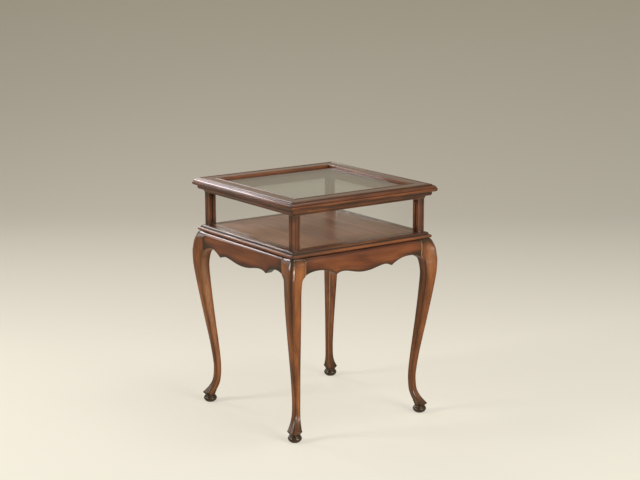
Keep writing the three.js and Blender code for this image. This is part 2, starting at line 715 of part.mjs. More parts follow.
// A square section with rounded arrises and bowed faces, tilted so that its outer corner is lowest.
// The outer faces fall away from the outer arris, at the knee block until they meet the aprons.
function legSection([height, outer, inner, crown, tilt, fall, edgeRoundShare]) {
  const width = outer - inner;
  const middle = (outer + inner) / 2;
  const outerRound = width * OUTER_ROUND_SHARE;
  const edgeRound = width * edgeRoundShare;
  const bend = crown - fall * FACE_BEND_SHARE;
  const plan = [];
  const arris = (x, y, radius, quarter, steps) => {
    for (let i = 0; i <= steps; i += 1) {
      const angle = (quarter + i / steps) * QUARTER_TURN;
      plan.push([x + radius * Math.cos(angle), y + radius * Math.sin(angle)]);
    }
  };
  arris(outer - outerRound, outer - outerRound, outerRound, 0, OUTER_ROUND_STEPS);
  plan.push([middle, outer + bend]);
  arris(inner + edgeRound, outer - fall - edgeRound, edgeRound, 1, EDGE_ROUND_STEPS);
  plan.push([inner - crown, middle]);
  arris(inner + edgeRound, inner + edgeRound, edgeRound, 2, EDGE_ROUND_STEPS);
  plan.push([middle, inner - crown]);
  arris(outer - fall - edgeRound, inner + edgeRound, edgeRound, 3, EDGE_ROUND_STEPS);
  plan.push([outer + bend, middle]);
  return plan.map(([x, y]) => {
    const out = (x + y - 2 * middle) / width;
    return new THREE.Vector3(x, y, height - tilt * out);
  });
}

// One ring of the turned pad, its points counted from the same arris as the sections above it
function padRing(centre, radius, height, count) {
  const points = [];
  for (let i = 0; i < count; i += 1) {
    const angle = QUARTER_TURN / 2 + (i - OUTER_ROUND_STEPS / 2) * (4 * QUARTER_TURN / count);
    const x = centre + radius * Math.cos(angle);
    const y = centre + radius * Math.sin(angle);
    points.push(new THREE.Vector3(x, y, height));
  }
  return points;
}

// The back right leg, from the knee block down to the pad, mortised for its two aprons
function legGeometry() {
  const rows = legRows();
  const rings = rows.map(legSection);
  const [toeHeight, toeOuter, toeInner, toeCrown, toeTilt, toeFall, toeRound] = rows[rows.length - 1];
  rings.push(legSection([
    toeHeight - TOE_EDGE_THICKNESS,
    toeOuter - TOE_EDGE_INSET,
    toeInner + TOE_EDGE_INSET,
    toeCrown,
    toeTilt,
    toeFall,
    toeRound,
  ]));
  const footCentre = toeInner + PAD_PLACE_SHARE * (toeOuter - toeInner);
  const count = rings[0].length;
  for (const [radius, height] of PAD_RING_SHARES) {
    rings.push(padRing(footCentre, radius * PAD_RADIUS, height * PAD_HEIGHT, count));
  }
  const mortise = toManifold(tenonBox(FIT_GAP));
  const fromBack = mortise.mirror([0, 1, 0]);
  const fromRight = mortise.rotate([0, 0, QUARTER_TURN_DEGREES]);
  return fromManifold(toManifold(loftDown(rings)).subtract(fromBack).subtract(fromRight));
}

// A block across the corner behind the leg, notched round the leg's inner arris
function cornerBlockGeometry() {
  const apronFace = APRON_INNER - FIT_GAP;
  const legFace = LEG_BLOCK_INNER - FIT_GAP;
  const armEnd = APRON_INNER - CORNER_BLOCK_ARM;
  const plan = new THREE.Shape();
  plan.moveTo(apronFace, armEnd);
  plan.lineTo(apronFace, legFace);
  plan.lineTo(legFace, legFace);
  plan.lineTo(legFace, apronFace);
  plan.lineTo(armEnd, apronFace);
  plan.closePath();
  const block = new THREE.ExtrudeGeometry(plan, { depth: CORNER_BLOCK_HEIGHT, bevelEnabled: false });
  block.translate(0, 0, LEG_TOP - CORNER_BLOCK_HEIGHT);
  const hole = caseScrewGeometry(FIT_GAP);
  hole.translate(CASE_SCREW_OUT, CASE_SCREW_ALONG, CASE_SCREW_SEAT);
  return cutBy(block, [hole]);
}

// Hinges, drawn about an axis along X through the origin, with the leaves reaching towards -Y

const HINGE_REACH = TOP_RAIL_REACH + HINGE_AXIS_OVERHANG;
const HINGE_HEIGHT = (CASE_TOP + LID_UNDERSIDE) / 2;
const LEAF_NEAR = FIT_GAP / 2;
const LEAF_FAR = LEAF_NEAR + HINGE_LEAF_THICKNESS;
const BARREL_CLEAR = HINGE_KNUCKLE_RADIUS + FIT_GAP;
const PIN_END = HINGE_LENGTH / 2 + HINGE_PIN_HEAD_LENGTH;
const HINGE_PLACES = [['left', -HINGE_SPACING / 2], ['right', HINGE_SPACING / 2]];
const HINGE_SCREW_PLACES = [-HINGE_SCREW_SPACING / 2, HINGE_SCREW_SPACING / 2];

// A screw of the lower leaf, or with a gap the hole that clears it
function leafScrewGeometry(along, gap) {
  const screw = hingeScrewGeometry(gap);
  screw.translate(along, -HINGE_SCREW_INSET, -LEAF_NEAR);
  return screw;
}

// The leaf below the axis: a plate, cut back beside the other leaf's knuckles, with its own knuckles
function leafSolid(ownKnuckles, otherKnuckles) {
  const half = HINGE_LENGTH / 2;
  let leaf = toManifold(boxBetween([-half, -HINGE_LEAF_WIDTH, -LEAF_FAR], [half, 0, -LEAF_NEAR]));
  for (const [low, high] of otherKnuckles) {
    const room = boxBetween(
      [low, -BARREL_CLEAR, -LEAF_FAR - CUT_OVERRUN],
      [high, CUT_OVERRUN, LEAF_NEAR],
    );
    leaf = leaf.subtract(toManifold(room));
  }
  for (const [low, high] of ownKnuckles) {
    const knuckle = barrelAlongX(HINGE_KNUCKLE_RADIUS, high - low, (low + high) / 2);
    leaf = leaf.add(toManifold(knuckle));
  }
  const bore = barrelAlongX(HINGE_PIN_RADIUS + FIT_GAP, HINGE_LENGTH + 2 * CUT_OVERRUN, 0);
  leaf = leaf.subtract(toManifold(bore));
  for (const along of HINGE_SCREW_PLACES) {
    leaf = leaf.subtract(toManifold(leafScrewGeometry(along, FIT_GAP)));
  }
  return leaf;
}

function caseLeafGeometry() {
  const end = HINGE_LENGTH / 2;
  const middle = (HINGE_MIDDLE_KNUCKLE + FIT_GAP) / 2;
  return fromManifold(leafSolid([[-end, -middle], [middle, end]], [[-middle, middle]]));
}

// The lid's leaf is drawn as a lower leaf and turned over to lie above the axis
function lidLeafGeometry() {
  const beyond = HINGE_LENGTH / 2 + CUT_OVERRUN;
  const middle = (HINGE_MIDDLE_KNUCKLE - FIT_GAP) / 2;
  const leaf = leafSolid([[-middle, middle]], [[-beyond, -middle], [middle, beyond]]);
  return fromManifold(leaf.mirror([0, 0, 1]));
}

function lidScrewGeometry(along) {
  return fromManifold(toManifold(leafScrewGeometry(along, 0)).mirror([0, 0, 1]));
}

// A pin with a round head against each end of the barrel
function hingePinGeometry() {
  const end = HINGE_LENGTH / 2;
  const rows = [
    [0, -PIN_END],
    [HINGE_PIN_HEAD_RADIUS, -PIN_END],
    [HINGE_PIN_HEAD_RADIUS, -end],
    [HINGE_PIN_RADIUS, -end],
    [HINGE_PIN_RADIUS, end],
    [HINGE_PIN_HEAD_RADIUS, end],
    [HINGE_PIN_HEAD_RADIUS, PIN_END],
    [0, PIN_END],
  ];
  const pin = turned(rows, HINGE_SIDES);
  pin.rotateY(QUARTER_TURN);
  return pin;
}

// A back rail, drawn as a front one, with a seat for each hinge: mortise, barrel pocket, screw holes
function withHingeSeats(rail, above) {
  const half = HINGE_LENGTH / 2 + FIT_GAP;
  const barrelHalf = PIN_END + FIT_GAP;
  const cutters = [
    boxBetween([-half, -HINGE_LEAF_WIDTH - FIT_GAP, -LEAF_FAR], [half, CUT_OVERRUN, LEAF_NEAR]),
    boxBetween([-barrelHalf, -BARREL_CLEAR, -BARREL_CLEAR], [barrelHalf, BARREL_CLEAR, LEAF_NEAR]),
    ...HINGE_SCREW_PLACES.map((along) => leafScrewGeometry(along, FIT_GAP)),
  ];
  let solid = toManifold(rail).rotate([0, 0, 2 * QUARTER_TURN_DEGREES]);
  for (const [, x] of HINGE_PLACES) {
    for (const cutter of cutters) {
      const lower = toManifold(cutter);
      const seat = above ? lower.mirror([0, 0, 1]) : lower;
      solid = solid.subtract(seat.translate([x, HINGE_REACH, HINGE_HEIGHT]));
    }
  }
  return fromManifold(solid.rotate([0, 0, -2 * QUARTER_TURN_DEGREES]));
}

// A soft disc on the case's top rail, a fit gap short of the closed lid
function bumperGeometry() {
  const height = LID_GAP - FIT_GAP;
  const bumper = new THREE.CylinderGeometry(BUMPER_RADIUS, BUMPER_RADIUS, height, BUMPER_SIDES);
  bumper.rotateX(QUARTER_TURN);
  bumper.translate(0, 0, CASE_TOP + height / 2);
  return bumper;
}

// Assembly

function addPiece(parent, name, geometry, finish) {
  const mesh = new THREE.Mesh(geometry, FINISHES[finish]());
  mesh.name = name;
  parent.add(mesh);
  return mesh;
}

// The same piece on one of the four sides or corners, a quarter turn on for each
function addTurned(parent, name, geometry, finish, quarters) {
  addPiece(parent, name, geometry, finish).rotation.z = quarters * QUARTER_TURN;
}

function buildUnderFrame() {
  const frame = new THREE.Group();
  const leg = legGeometry();
  const block = cornerBlockGeometry();
  const aprons = [apronGeometry(FRONT_EDGE_SHARES), apronGeometry(SIDE_EDGE_SHARES)];
  const screw = caseScrewGeometry(0);
  screw.translate(CASE_SCREW_OUT, CASE_SCREW_ALONG, CASE_SCREW_SEAT);
  CORNERS.forEach((corner, quarters) => {
    addTurned(frame, `leg_${corner}`, leg, 'legWood', quarters);
    addTurned(frame, `corner_block_${corner}`, block, 'hiddenWood', quarters);
    addTurned(frame, `case_screw_${corner}`, screw, 'steel', quarters);
  });
  SIDES.forEach((side, quarters) => {
    addTurned(frame, `apron_${side}`, aprons[quarters % 2], 'apronWood', quarters);
  });
  return frame;
}

function buildCase() {
  const showCase = new THREE.Group();
  const moulding = baseMouldingGeometry();
  const pane = sideGlassGeometry();
  const rail = mitredRail(topRailProfile());
  const backRail = withHingeSeats(rail, false);
  const post = postGeometry();
  addPiece(showCase, 'case_floor', caseFloorGeometry(), 'floorVeneer');
  SIDES.forEach((side, quarters) => {
    addTurned(showCase, `base_moulding_${side}`, moulding, 'caseWood', quarters);
    addTurned(showCase, `side_glass_${side}`, pane, 'glass', quarters);
    addTurned(showCase, `top_rail_${side}`, side === 'back' ? backRail : rail, 'caseWood', quarters);
  });
  CORNERS.forEach((corner, quarters) => {
    addTurned(showCase, `post_${corner}`, post, 'caseWood', quarters);
  });
  const bumper = bumperGeometry();
  const bumperReach = (POST_INNER + TOP_RAIL_REACH) / 2;
  for (const [side, x] of [['left', -BUMPER_SPACING / 2], ['right', BUMPER_SPACING / 2]]) {
    addPiece(showCase, `lid_bumper_${side}`, bumper, 'felt').position.set(x, -bumperReach, 0);
  }
  return showCase;
}

// The lid, in a group whose origin lies on the hinge axis
function buildLid() {
  const hinged = new THREE.Group();
  hinged.position.set(0, HINGE_REACH, HINGE_HEIGHT);
  const lid = new THREE.Group();
  lid.position.set(0, -HINGE_REACH, -HINGE_HEIGHT);
  hinged.add(lid);
  const rail = mitredRail(lidRailProfile());
  const backRail = withHingeSeats(rail, true);
  const bead = mitredRail(glazingBeadProfile());
  addPiece(lid, 'lid_glass', lidGlassGeometry(), 'glass');
  SIDES.forEach((side, quarters) => {
    addTurned(lid, `lid_rail_${side}`, side === 'back' ? backRail : rail, 'lidWood', quarters);
    addTurned(lid, `glazing_bead_${side}`, bead, 'lidWood', quarters);
  });
  const leaf = lidLeafGeometry();
  for (const [side, x] of HINGE_PLACES) {
    addPiece(hinged, `hinge_${side}_lid_leaf`, leaf, 'brass').position.x = x;
    HINGE_SCREW_PLACES.forEach((along, index) => {
      const name = `hinge_${side}_lid_screw_${index + 1}`;
      addPiece(hinged, name, lidScrewGeometry(along), 'brass').position.x = x;
    });
  }
  return hinged;
}

function buildHinge(side, x) {
  const hinge = new THREE.Group();
  hinge.position.set(x, HINGE_REACH, HINGE_HEIGHT);
  addPiece(hinge, `hinge_${side}_case_leaf`, caseLeafGeometry(), 'brass');
  addPiece(hinge, `hinge_${side}_pin`, hingePinGeometry(), 'brass');
  HINGE_SCREW_PLACES.forEach((along, index) => {
    const name = `hinge_${side}_case_screw_${index + 1}`;
    addPiece(hinge, name, leafScrewGeometry(along, 0), 'brass');
  });
  return hinge;
}

const table = new THREE.Group();
table.add(buildUnderFrame());
table.add(buildCase());
table.add(buildLid());
for (const [side, x] of HINGE_PLACES) {
  table.add(buildHinge(side, x));
}

export default table;
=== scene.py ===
# %% [markdown]
# # A display table with a hinged glass lid
#
# The table is a shallow show case on four cabriole legs. Cabinet makers build it from the floor up:
# legs and scalloped aprons, a moulded base frame with a veneered floor, four posts with panes of
# glass between them, a top rail, and a heavy moulded lid that is hinged at the back.
#
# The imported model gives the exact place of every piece. This file keeps those places and gives each
# piece its finer shape and its finish: eased edges, true curves, wood grain, lacquer, glass and
# brass.

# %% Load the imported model
import math

import bpy
import numpy as np
from mathutils import Matrix, Vector


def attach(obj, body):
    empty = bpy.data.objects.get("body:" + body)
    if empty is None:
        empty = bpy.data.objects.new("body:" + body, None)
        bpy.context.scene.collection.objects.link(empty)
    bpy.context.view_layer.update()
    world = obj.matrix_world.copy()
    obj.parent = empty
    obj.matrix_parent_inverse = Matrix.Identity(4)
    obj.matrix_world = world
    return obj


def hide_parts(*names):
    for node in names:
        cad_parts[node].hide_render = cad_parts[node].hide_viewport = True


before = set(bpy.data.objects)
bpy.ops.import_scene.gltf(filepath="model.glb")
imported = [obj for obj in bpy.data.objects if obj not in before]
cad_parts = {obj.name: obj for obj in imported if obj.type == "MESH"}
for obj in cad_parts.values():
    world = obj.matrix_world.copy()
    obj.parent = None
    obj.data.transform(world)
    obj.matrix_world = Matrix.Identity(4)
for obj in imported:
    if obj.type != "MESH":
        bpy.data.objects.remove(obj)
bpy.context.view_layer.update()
print("nodes in the packed model:", len(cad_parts))

# %% [markdown]
# ## The camera
#
# The camera stands a little above the table's top and off its front left corner, so that two sides
# of the case, the lid's glass and all four legs are seen. A camera can be aimed by a constraint or
# by hand. Here its matrix is worked out from three angles, because that is exact and leaves nothing
# live in the file.

# %% Place the camera
CAMERA_PLACE = Vector((-2.3566, -3.3178, 1.3616))
CAMERA_YAW, CAMERA_PITCH, CAMERA_ROLL = (math.radians(angle) for angle in (35.64, -12.29, -0.07))
CAMERA_LENS, CAMERA_SENSOR = 85.76, 36.0


def placed(name, data):
    """A new object in the scene for the data."""
    thing = bpy.data.objects.new(name, data)
    bpy.context.scene.collection.objects.link(thing)
    return thing


def look_matrix(place, yaw, pitch, roll):
    """Yaw turns the view from +Y towards +X, pitch tips it up, and roll turns it about itself."""
    ahead = Vector((math.sin(yaw) * math.cos(pitch), math.cos(yaw) * math.cos(pitch),
                    math.sin(pitch)))
    level = ahead.cross(Vector((0, 0, 1))).normalized()
    upright = level.cross(ahead)
    right = level * math.cos(roll) + upright * math.sin(roll)
    up = upright * math.cos(roll) - level * math.sin(roll)
    matrix = Matrix((right, up, -ahead)).transposed().to_4x4()
    matrix.translation = place
    return matrix


camera_data = bpy.data.cameras.new("camera")
camera_data.lens, camera_data.sensor_width = CAMERA_LENS, CAMERA_SENSOR
camera = placed("camera", camera_data)
camera.matrix_world = look_matrix(CAMERA_PLACE, CAMERA_YAW, CAMERA_PITCH, CAMERA_ROLL)
bpy.context.scene.camera = camera
print("camera stands", round(CAMERA_PLACE.length, 2), "m from the table")

# %% [markdown]
# ## The sizes
#
# The table's main sizes in millimetres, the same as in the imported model. Heights are counted from
# the floor, and a reach is a distance out from the middle of the table. The front faces -Y.

# %% Heights and reaches
MM = 0.001
TABLE_TOP = 640.0
LID_UNDERSIDE = 619.5
CASE_TOP = 618.0
WINDOW_TOP = 601.0
CASE_FLOOR = 509.0
LEG_TOP = 492.0
LID_REACH = 239.0
TOP_RAIL_REACH = 228.2
POST_REACH = 214.0
POST_INNER = 192.0
BASE_REACH = 228.8
APRON_REACH = 234.0
KNEE_REACH = 243.2
GLASS_LINE = 203.0
FIT_GAP = 0.3
SIDES = ("front", "right", "back", "left")
CORNERS = ("back_right", "back_left", "front_left", "front_right")
print("the table is", TABLE_TOP, "mm high and its lid", 2 * LID_REACH, "mm wide")

# %% [markdown]
# ## Surfaces from numbers
#
# Nearly every piece here is a stick of wood with a shaped section: a rail, a post, an apron or a
# leg. Such a piece could be modelled by hand with bevels and loop cuts. It is shorter to work out a
# grid of points, one row for each station along the stick and one column for each point of the
# section, as whole numpy arrays.
#
# Two more values are kept at every point for the finish. "grain" is the place in the plank the
# piece was cut from, with the fibres along its first number. The second says how much of the dark
# glazing stays there when the finisher wipes it off, and it carries painted light as well: painted
# shade in hollows, along seams, under the mouldings and down the legs' ridges, whole faces of some
# legs and posts painted darker or lighter, and painted highlights on some edges of the legs. Most
# stays in hollows and along seams, and none on the mouldings' ridges, where it is below zero.

# %% Turn points by quarter turns
def quarter_turned(points, quarters):
    """Turns points about Z by whole quarter turns: each takes (x, y) to (-y, x)."""
    turned = np.array(points, dtype=float)
    for _ in range(quarters % 4):
        turned = np.stack((-turned[..., 1], turned[..., 0], turned[..., 2]), axis=-1)
    return turned

# %% Make a mesh from a grid of points
def ring_faces(rows, columns):
    """Corner numbers of the four-sided faces between the rows of a grid that closes on itself."""
    start = np.arange((rows - 1) * columns).reshape(rows - 1, columns)
    beside = np.roll(start, -1, axis=1)
    return np.stack((start, beside, beside + columns, start + columns), axis=-1).reshape(-1, 4)


def corner_normals(points, faces):
    """The unit sum of the area vectors of the faces round each point, so wide faces weigh most."""
    a, b, c, d = np.moveaxis(points[faces], 1, 0)
    area = np.cross(c - a, d - b)
    normals = np.zeros_like(points)
    for corner in range(4):
        np.add.at(normals, faces[:, corner], area)
    return normals / np.maximum(np.linalg.norm(normals, axis=1, keepdims=True), 1e-12)


def with_caps(values, columns):
    """Repeats the values of the first and the last row for the caps' own points."""
    return np.concatenate((values, values[:columns], values[-columns:]))


def grid_piece(name, grid, grain, glaze_and_painted_light, finish, quarters=0):
    """A closed piece from a grid (stations, section points, 3) in millimetres, with two flat caps.

    The caps have points of their own, so that their edge stays crisp. The faces are turned to point
    outwards when the sum of their cone volumes about the middle is negative.
    """
    rows, columns, _ = grid.shape
    points = quarter_turned(grid, quarters).reshape(-1, 3) * MM
    faces = ring_faces(rows, columns)
    caps = [np.arange(columns)[::-1] + rows * columns, np.arange(columns) + (rows + 1) * columns]
    a, b, c, d = np.moveaxis(points[faces] - points.mean(axis=0), 1, 0)
    if np.sum(np.cross(a, b) * c + np.cross(a, c) * d) < 0:
        faces, caps = faces[:, ::-1], [cap[::-1] for cap in caps]
    every_point = with_caps(points, columns)
    normals = [corner_normals(points, faces)]
    for cap in caps:
        ring = every_point[cap]
        normal = np.cross(ring, np.roll(ring, -1, axis=0)).sum(axis=0)
        normals.append(np.repeat([normal / np.linalg.norm(normal)], columns, axis=0))
    values = {"grain": with_caps(grain.reshape(-1, 3) * MM, columns),
              "glaze_and_painted_light": with_caps(glaze_and_painted_light.reshape(-1), columns)}
    return mesh_piece(name, every_point, [*faces.tolist(), *[cap.tolist() for cap in caps]],
                      np.concatenate(normals), values, finish)


def mesh_piece(name, points, faces, normals, values, finish):
    """Puts points, faces, normals and named values into a new object and gives it its finish."""
    mesh = bpy.data.meshes.new(name)
    mesh.from_pydata(points.tolist(), [], faces)
    mesh.shade_smooth()
    for title, numbers in values.items():
        vector = numbers.ndim == 2
        layer = mesh.attributes.new(title, "FLOAT_VECTOR" if vector else "FLOAT", "POINT")
        layer.data.foreach_set("vector" if vector else "value", numbers.astype(np.float32).ravel())
    mesh.normals_split_custom_set_from_vertices(normals.tolist())
    mesh.materials.append(finish)
    return placed(name, mesh)

# %% [markdown]
# A moulding's section is drawn as a closed line of straight runs and curves. No edge on real
# woodwork is perfectly sharp: sandpaper takes it off, and that thin bright edge is what makes a
# moulding look real. So every corner of the line is replaced by a small curve. The finisher's dark
# glazing follows the same line: a point that lies deeper than the middle of its neighbours is a
# hollow and keeps it, and that darkening also stands for the shade that falls in the hollow, as
# painted shade.

# %% Draw a section
CURVE_STEPS, EASE_STEPS, HOLLOW_STEPS = 9, 5, 24
CORNER_TURN = math.radians(16)
EASE_SHARE = 0.4


def bent(start, control, end, t):
    """The curve (1-t)(1-t) start + 2t(1-t) control + tt end."""
    return (1 - t) ** 2 * start + 2 * t * (1 - t) * control + t ** 2 * end


def near(value, place, width):
    """A soft bell, exp(-((value - place) / width)^2): 1 at the place, almost 0 two widths away."""
    return np.exp(-((value - place) / width) ** 2)


def section_line(start, *runs):
    """Points of a closed line. A run is an end point, or a bent curve's control and end point."""
    line = [np.array([start], dtype=float)]
    t = np.linspace(0, 1, CURVE_STEPS + 1)[1:, None]
    for run in runs:
        run = np.array(run, dtype=float)
        line.append(run[None] if run.ndim == 1 else bent(line[-1][-1], *run, t))
    return np.concatenate(line)


def sharp_corners(line):
    """True where the closed line turns by more than CORNER_TURN."""
    ahead = np.roll(line, -1, axis=0) - line
    heading = np.arctan2(ahead[:, 1], ahead[:, 0])
    turn = heading - np.roll(heading, 1)
    return np.abs((turn + math.pi) % (2 * math.pi) - math.pi) > CORNER_TURN


def eased(line, radius, corners):
    """Replaces each marked corner by a bent curve between points up to radius away from it."""
    ends = []
    for step in (1, -1):
        way = np.roll(line, step, axis=0) - line
        length = np.linalg.norm(way, axis=1, keepdims=True)
        ends.append((line + way / length * np.minimum(radius, EASE_SHARE * length))[:, None])
    curve = bent(ends[0], line[:, None], ends[1], np.linspace(0, 1, EASE_STEPS)[None, :, None])
    curve[~corners] = line[~corners][:, None]
    return curve[corners[:, None] | (np.arange(EASE_STEPS) == EASE_STEPS // 2)]


def hollow_depth(line, width):
    """How deep in a hollow each point lies: how far inwards of the middle of the line near it.

    The middle is weighed by near(distance, 0, width), and the result is a share of the width.
    """
    ahead = np.roll(line, -1, axis=0) - line
    t = np.linspace(0, 1, HOLLOW_STEPS, endpoint=False)[None, :, None]
    samples = (line[:, None] + ahead[:, None] * t).reshape(-1, 2)
    length = np.repeat(np.linalg.norm(ahead, axis=1), HOLLOW_STEPS)
    weight = near(np.linalg.norm(line[:, None] - samples[None], axis=2), 0, width) * length
    middle = weight @ samples / weight.sum(axis=1, keepdims=True)
    tangent = np.roll(line, -1, axis=0) - np.roll(line, 1, axis=0)
    outward = np.stack((tangent[:, 1], -tangent[:, 0]), axis=1)
    outward /= np.linalg.norm(outward, axis=1, keepdims=True)
    x, z = line.T
    way_round = 1 if np.sum(x * np.roll(z, -1) - z * np.roll(x, -1)) > 0 else -1
    return way_round * np.einsum("ij,ij->i", middle - line, outward) / width

# %% [markdown]
# ## The wood finish
#
# The table is a fine-grained hardwood, stained red-brown, then glazed with a dark brown that is
# wiped off the open faces and left in the hollows, and lacquered to a satin sheen. A scanned wood
# picture would show its own edges and repeat, so the finish is built from noise read at each
# point's place in its plank: stretched 12 times along the fibres for the figure, 20 times for the
# open pores and 44 times for the fine streaks.

# %% Helpers for shader nodes
def srgb(red, green, blue):
    """The linear colour that shows as these display values from 0 to 255."""
    shown = np.array((red, green, blue)) / 255
    linear = np.where(shown <= 0.04045, shown / 12.92, ((shown + 0.055) / 1.055) ** 2.4)
    return (*linear.tolist(), 1.0)


class Finish:
    """A node material in the making. Each method adds nodes and returns the socket they end in."""

    def __init__(self, name):
        self.material = bpy.data.materials.new(name)
        self.material.use_nodes = True
        self.tree = self.material.node_tree
        self.tree.nodes.clear()

    def add(self, kind, inputs=None, **settings):
        """Adds a node, fills its inputs with values or sockets, and returns its outputs."""
        node = self.tree.nodes.new("ShaderNode" + kind)
        for setting, value in settings.items():
            setattr(node, setting, value)
        for socket, value in (inputs or {}).items():
            if isinstance(value, bpy.types.NodeSocket):
                self.tree.links.new(value, node.inputs[socket])
            else:
                node.inputs[socket].default_value = value
        return node.outputs

    def maths(self, operation, first, second=0.0):
        """One sum, by its name on the Math node."""
        return self.add("Math", {0: first, 1: second}, operation=operation)[0]

    def times(self, first, second):
        """first * second"""
        return self.maths("MULTIPLY", first, second)

    def plus(self, first, second):
        """first + second"""
        return self.maths("ADD", first, second)

    def minus(self, first, second):
        """first - second"""
        return self.maths("SUBTRACT", first, second)

    def spread(self, value, low, high, first=0.0, last=1.0):
        """Stretches a value so that low becomes first and high becomes last, and stops it there."""
        return self.add("MapRange", {"Value": value, "From Min": low, "From Max": high,
                                     "To Min": first, "To Max": last})["Result"]

    def blended(self, *parts):
        """The sum of spread(noise, 0.3, 0.7) * weight over pairs of a noise and its weight."""
        shares = [self.times(self.spread(noise, 0.3, 0.7), weight) for noise, weight in parts]
        total = shares[0]
        for share in shares[1:]:
            total = self.plus(total, share)
        return total

    def mixed(self, share, first, second):
        """The colour share of the way from the first to the second."""
        return self.add("Mix", {0: share, 6: first, 7: second}, data_type="RGBA")[2]

    def ramp(self, value, *stops):
        """A colour ramp from (place, colour) stops."""
        colour = self.add("ValToRGB", {"Fac": value})["Color"]
        elements = colour.node.color_ramp.elements
        for _ in stops[2:]:
            elements.new(0.5)
        for element, (place, tint) in zip(elements, stops):
            element.position, element.color = place, tint
        return colour

    def noise(self, place, scale, detail, distortion=0.0):
        """Noise whose grains are 1 / scale metres long along each axis."""
        mapped = self.add("Mapping", {"Vector": place, "Scale": scale})[0]
        return self.add("TexNoise", {"Vector": mapped, "Scale": 1.0, "Detail": detail,
                                     "Distortion": distortion, "Roughness": 0.55})["Fac"]

    def ended(self, shader):
        """The finished material, which ends in the shader."""
        self.add("OutputMaterial", {"Surface": shader})
        print(self.material.name, "has", len(self.tree.nodes), "nodes")
        return self.material

    def surface(self, colour, roughness, height, strength, depth, **sockets):
        """The finished material of a solid thing, with a bump of the height, strength and depth."""
        bump = self.add("Bump", {"Height": height, "Strength": strength, "Distance": depth})[0]
        values = {title.replace("_", " "): value for title, value in sockets.items()}
        return self.ended(self.add("BsdfPrincipled", {
            "Base Color": colour, "Roughness": roughness, "Normal": bump, **values})[0])

# %% Build the lacquered wood
# The dark glazing's colour, also used for painted shade
GLAZE_AND_SHADE_COLOUR = srgb(52, 40, 22)


def lacquered_wood(name, dark, middle, light, pale_edge, satin=0.045):
    """Stained wood under glazing and lacquer, read from the points' grain and their value of glazing
    and painted light.

    The figure, a cloud and fine streaks give the tone. Full forms, where the value is a little below
    zero, are wiped to the light colour, and leg faces painted lighter take it too, as painted light.
    Sharp ridges, far below zero, take the pale edge colour: worn on the mouldings, painted
    highlights on the legs' edges. Hollows and painted shade take the dark colour. Satin is the
    roughness of the lacquer.
    """
    wood = Finish(name)
    place = wood.add("Attribute", attribute_name="grain")["Vector"]
    # The value of glazing and painted light at each point
    hollow = wood.add("Attribute", attribute_name="glaze_and_painted_light")["Fac"]
    figure = wood.noise(place, (5, 60, 60), 4, 0.7)
    streak = wood.noise(place, (14, 620, 620), 2)
    cloud = wood.noise(place, (9, 26, 26), 2, 0.4)
    pore = wood.noise(place, (170, 3400, 3400), 1)
    tone = wood.blended((figure, 0.45), (cloud, 0.35), (streak, 0.2))
    colour = wood.ramp(tone, (0.12, dark), (0.5, middle), (0.88, light))
    # Wiped lighter on full forms, and painted light on leg faces painted lighter
    full = wood.times(wood.spread(hollow, -0.02, -0.14), wood.spread(cloud, 0.2, 0.6))
    colour = wood.mixed(wood.times(full, 0.75), colour, light)
    # Worn ridges of the mouldings, and painted highlights on the legs' edges
    ridge = wood.times(wood.spread(hollow, -0.16, -0.4), wood.spread(streak, 0.35, 0.6))
    colour = wood.mixed(wood.times(ridge, 0.6), colour, pale_edge)
    pores = wood.spread(pore, 0.6, 0.72)
    colour = wood.mixed(wood.times(pores, 0.45), colour, GLAZE_AND_SHADE_COLOUR)
    # Glazing kept in hollows, and painted shade, take the dark colour
    unwiped = wood.times(wood.spread(cloud, 0.8, 0.2), 0.1)
    kept = wood.spread(wood.plus(hollow, unwiped), 0.06, 0.46)
    colour = wood.mixed(wood.times(kept, 0.92), colour, GLAZE_AND_SHADE_COLOUR)
    dull = wood.spread(wood.plus(cloud, pores), 0.3, 1.4, 0.3, 0.46)
    gloss = wood.spread(figure, 0.3, 0.7, 0.34, 0.26)
    return wood.surface(colour, wood.times(dull, wood.plus(gloss, 0.7)),
                        wood.minus(wood.times(streak, 0.3), wood.times(pores, 0.5)), 0.2, 0.0001,
                        IOR=1.45, Specular_IOR_Level=0.25, Coat_Weight=1.0, Coat_Roughness=satin)


lid_wood = lacquered_wood("lid_wood", srgb(62, 34, 22), srgb(92, 52, 33), srgb(140, 84, 48),
                          srgb(166, 112, 76))
case_wood = lacquered_wood("case_wood", srgb(62, 36, 25), srgb(90, 54, 36), srgb(140, 84, 48),
                           srgb(164, 112, 78))
leg_wood = lacquered_wood("leg_wood", srgb(84, 45, 23), srgb(128, 74, 37), srgb(168, 105, 53),
                          srgb(206, 170, 138), satin=0.22)
apron_wood = lacquered_wood("apron_wood", srgb(70, 36, 21), srgb(108, 58, 32), srgb(144, 84, 43),
                            srgb(168, 108, 68))

# %% [markdown]
# ## The other finishes
#
# The panes are thin clear float glass. A pane could be made with a refracting glass shader, but
# both faces of a flat pane send the light on in its old direction, so a mix of a clear and a
# mirror-like shader looks the same, is free of noise and lets the lamps light the inside of the
# case. The share of reflection follows the curve of Fresnel's law, and the clear part has the faint
# green of float glass. The lid's pane is seen at a slant, where its two faces together reflect
# nearly twice as much as one, so it has a higher curve.

# %% Glass
GLASS_TINT = (0.996, 0.997, 0.992, 1)


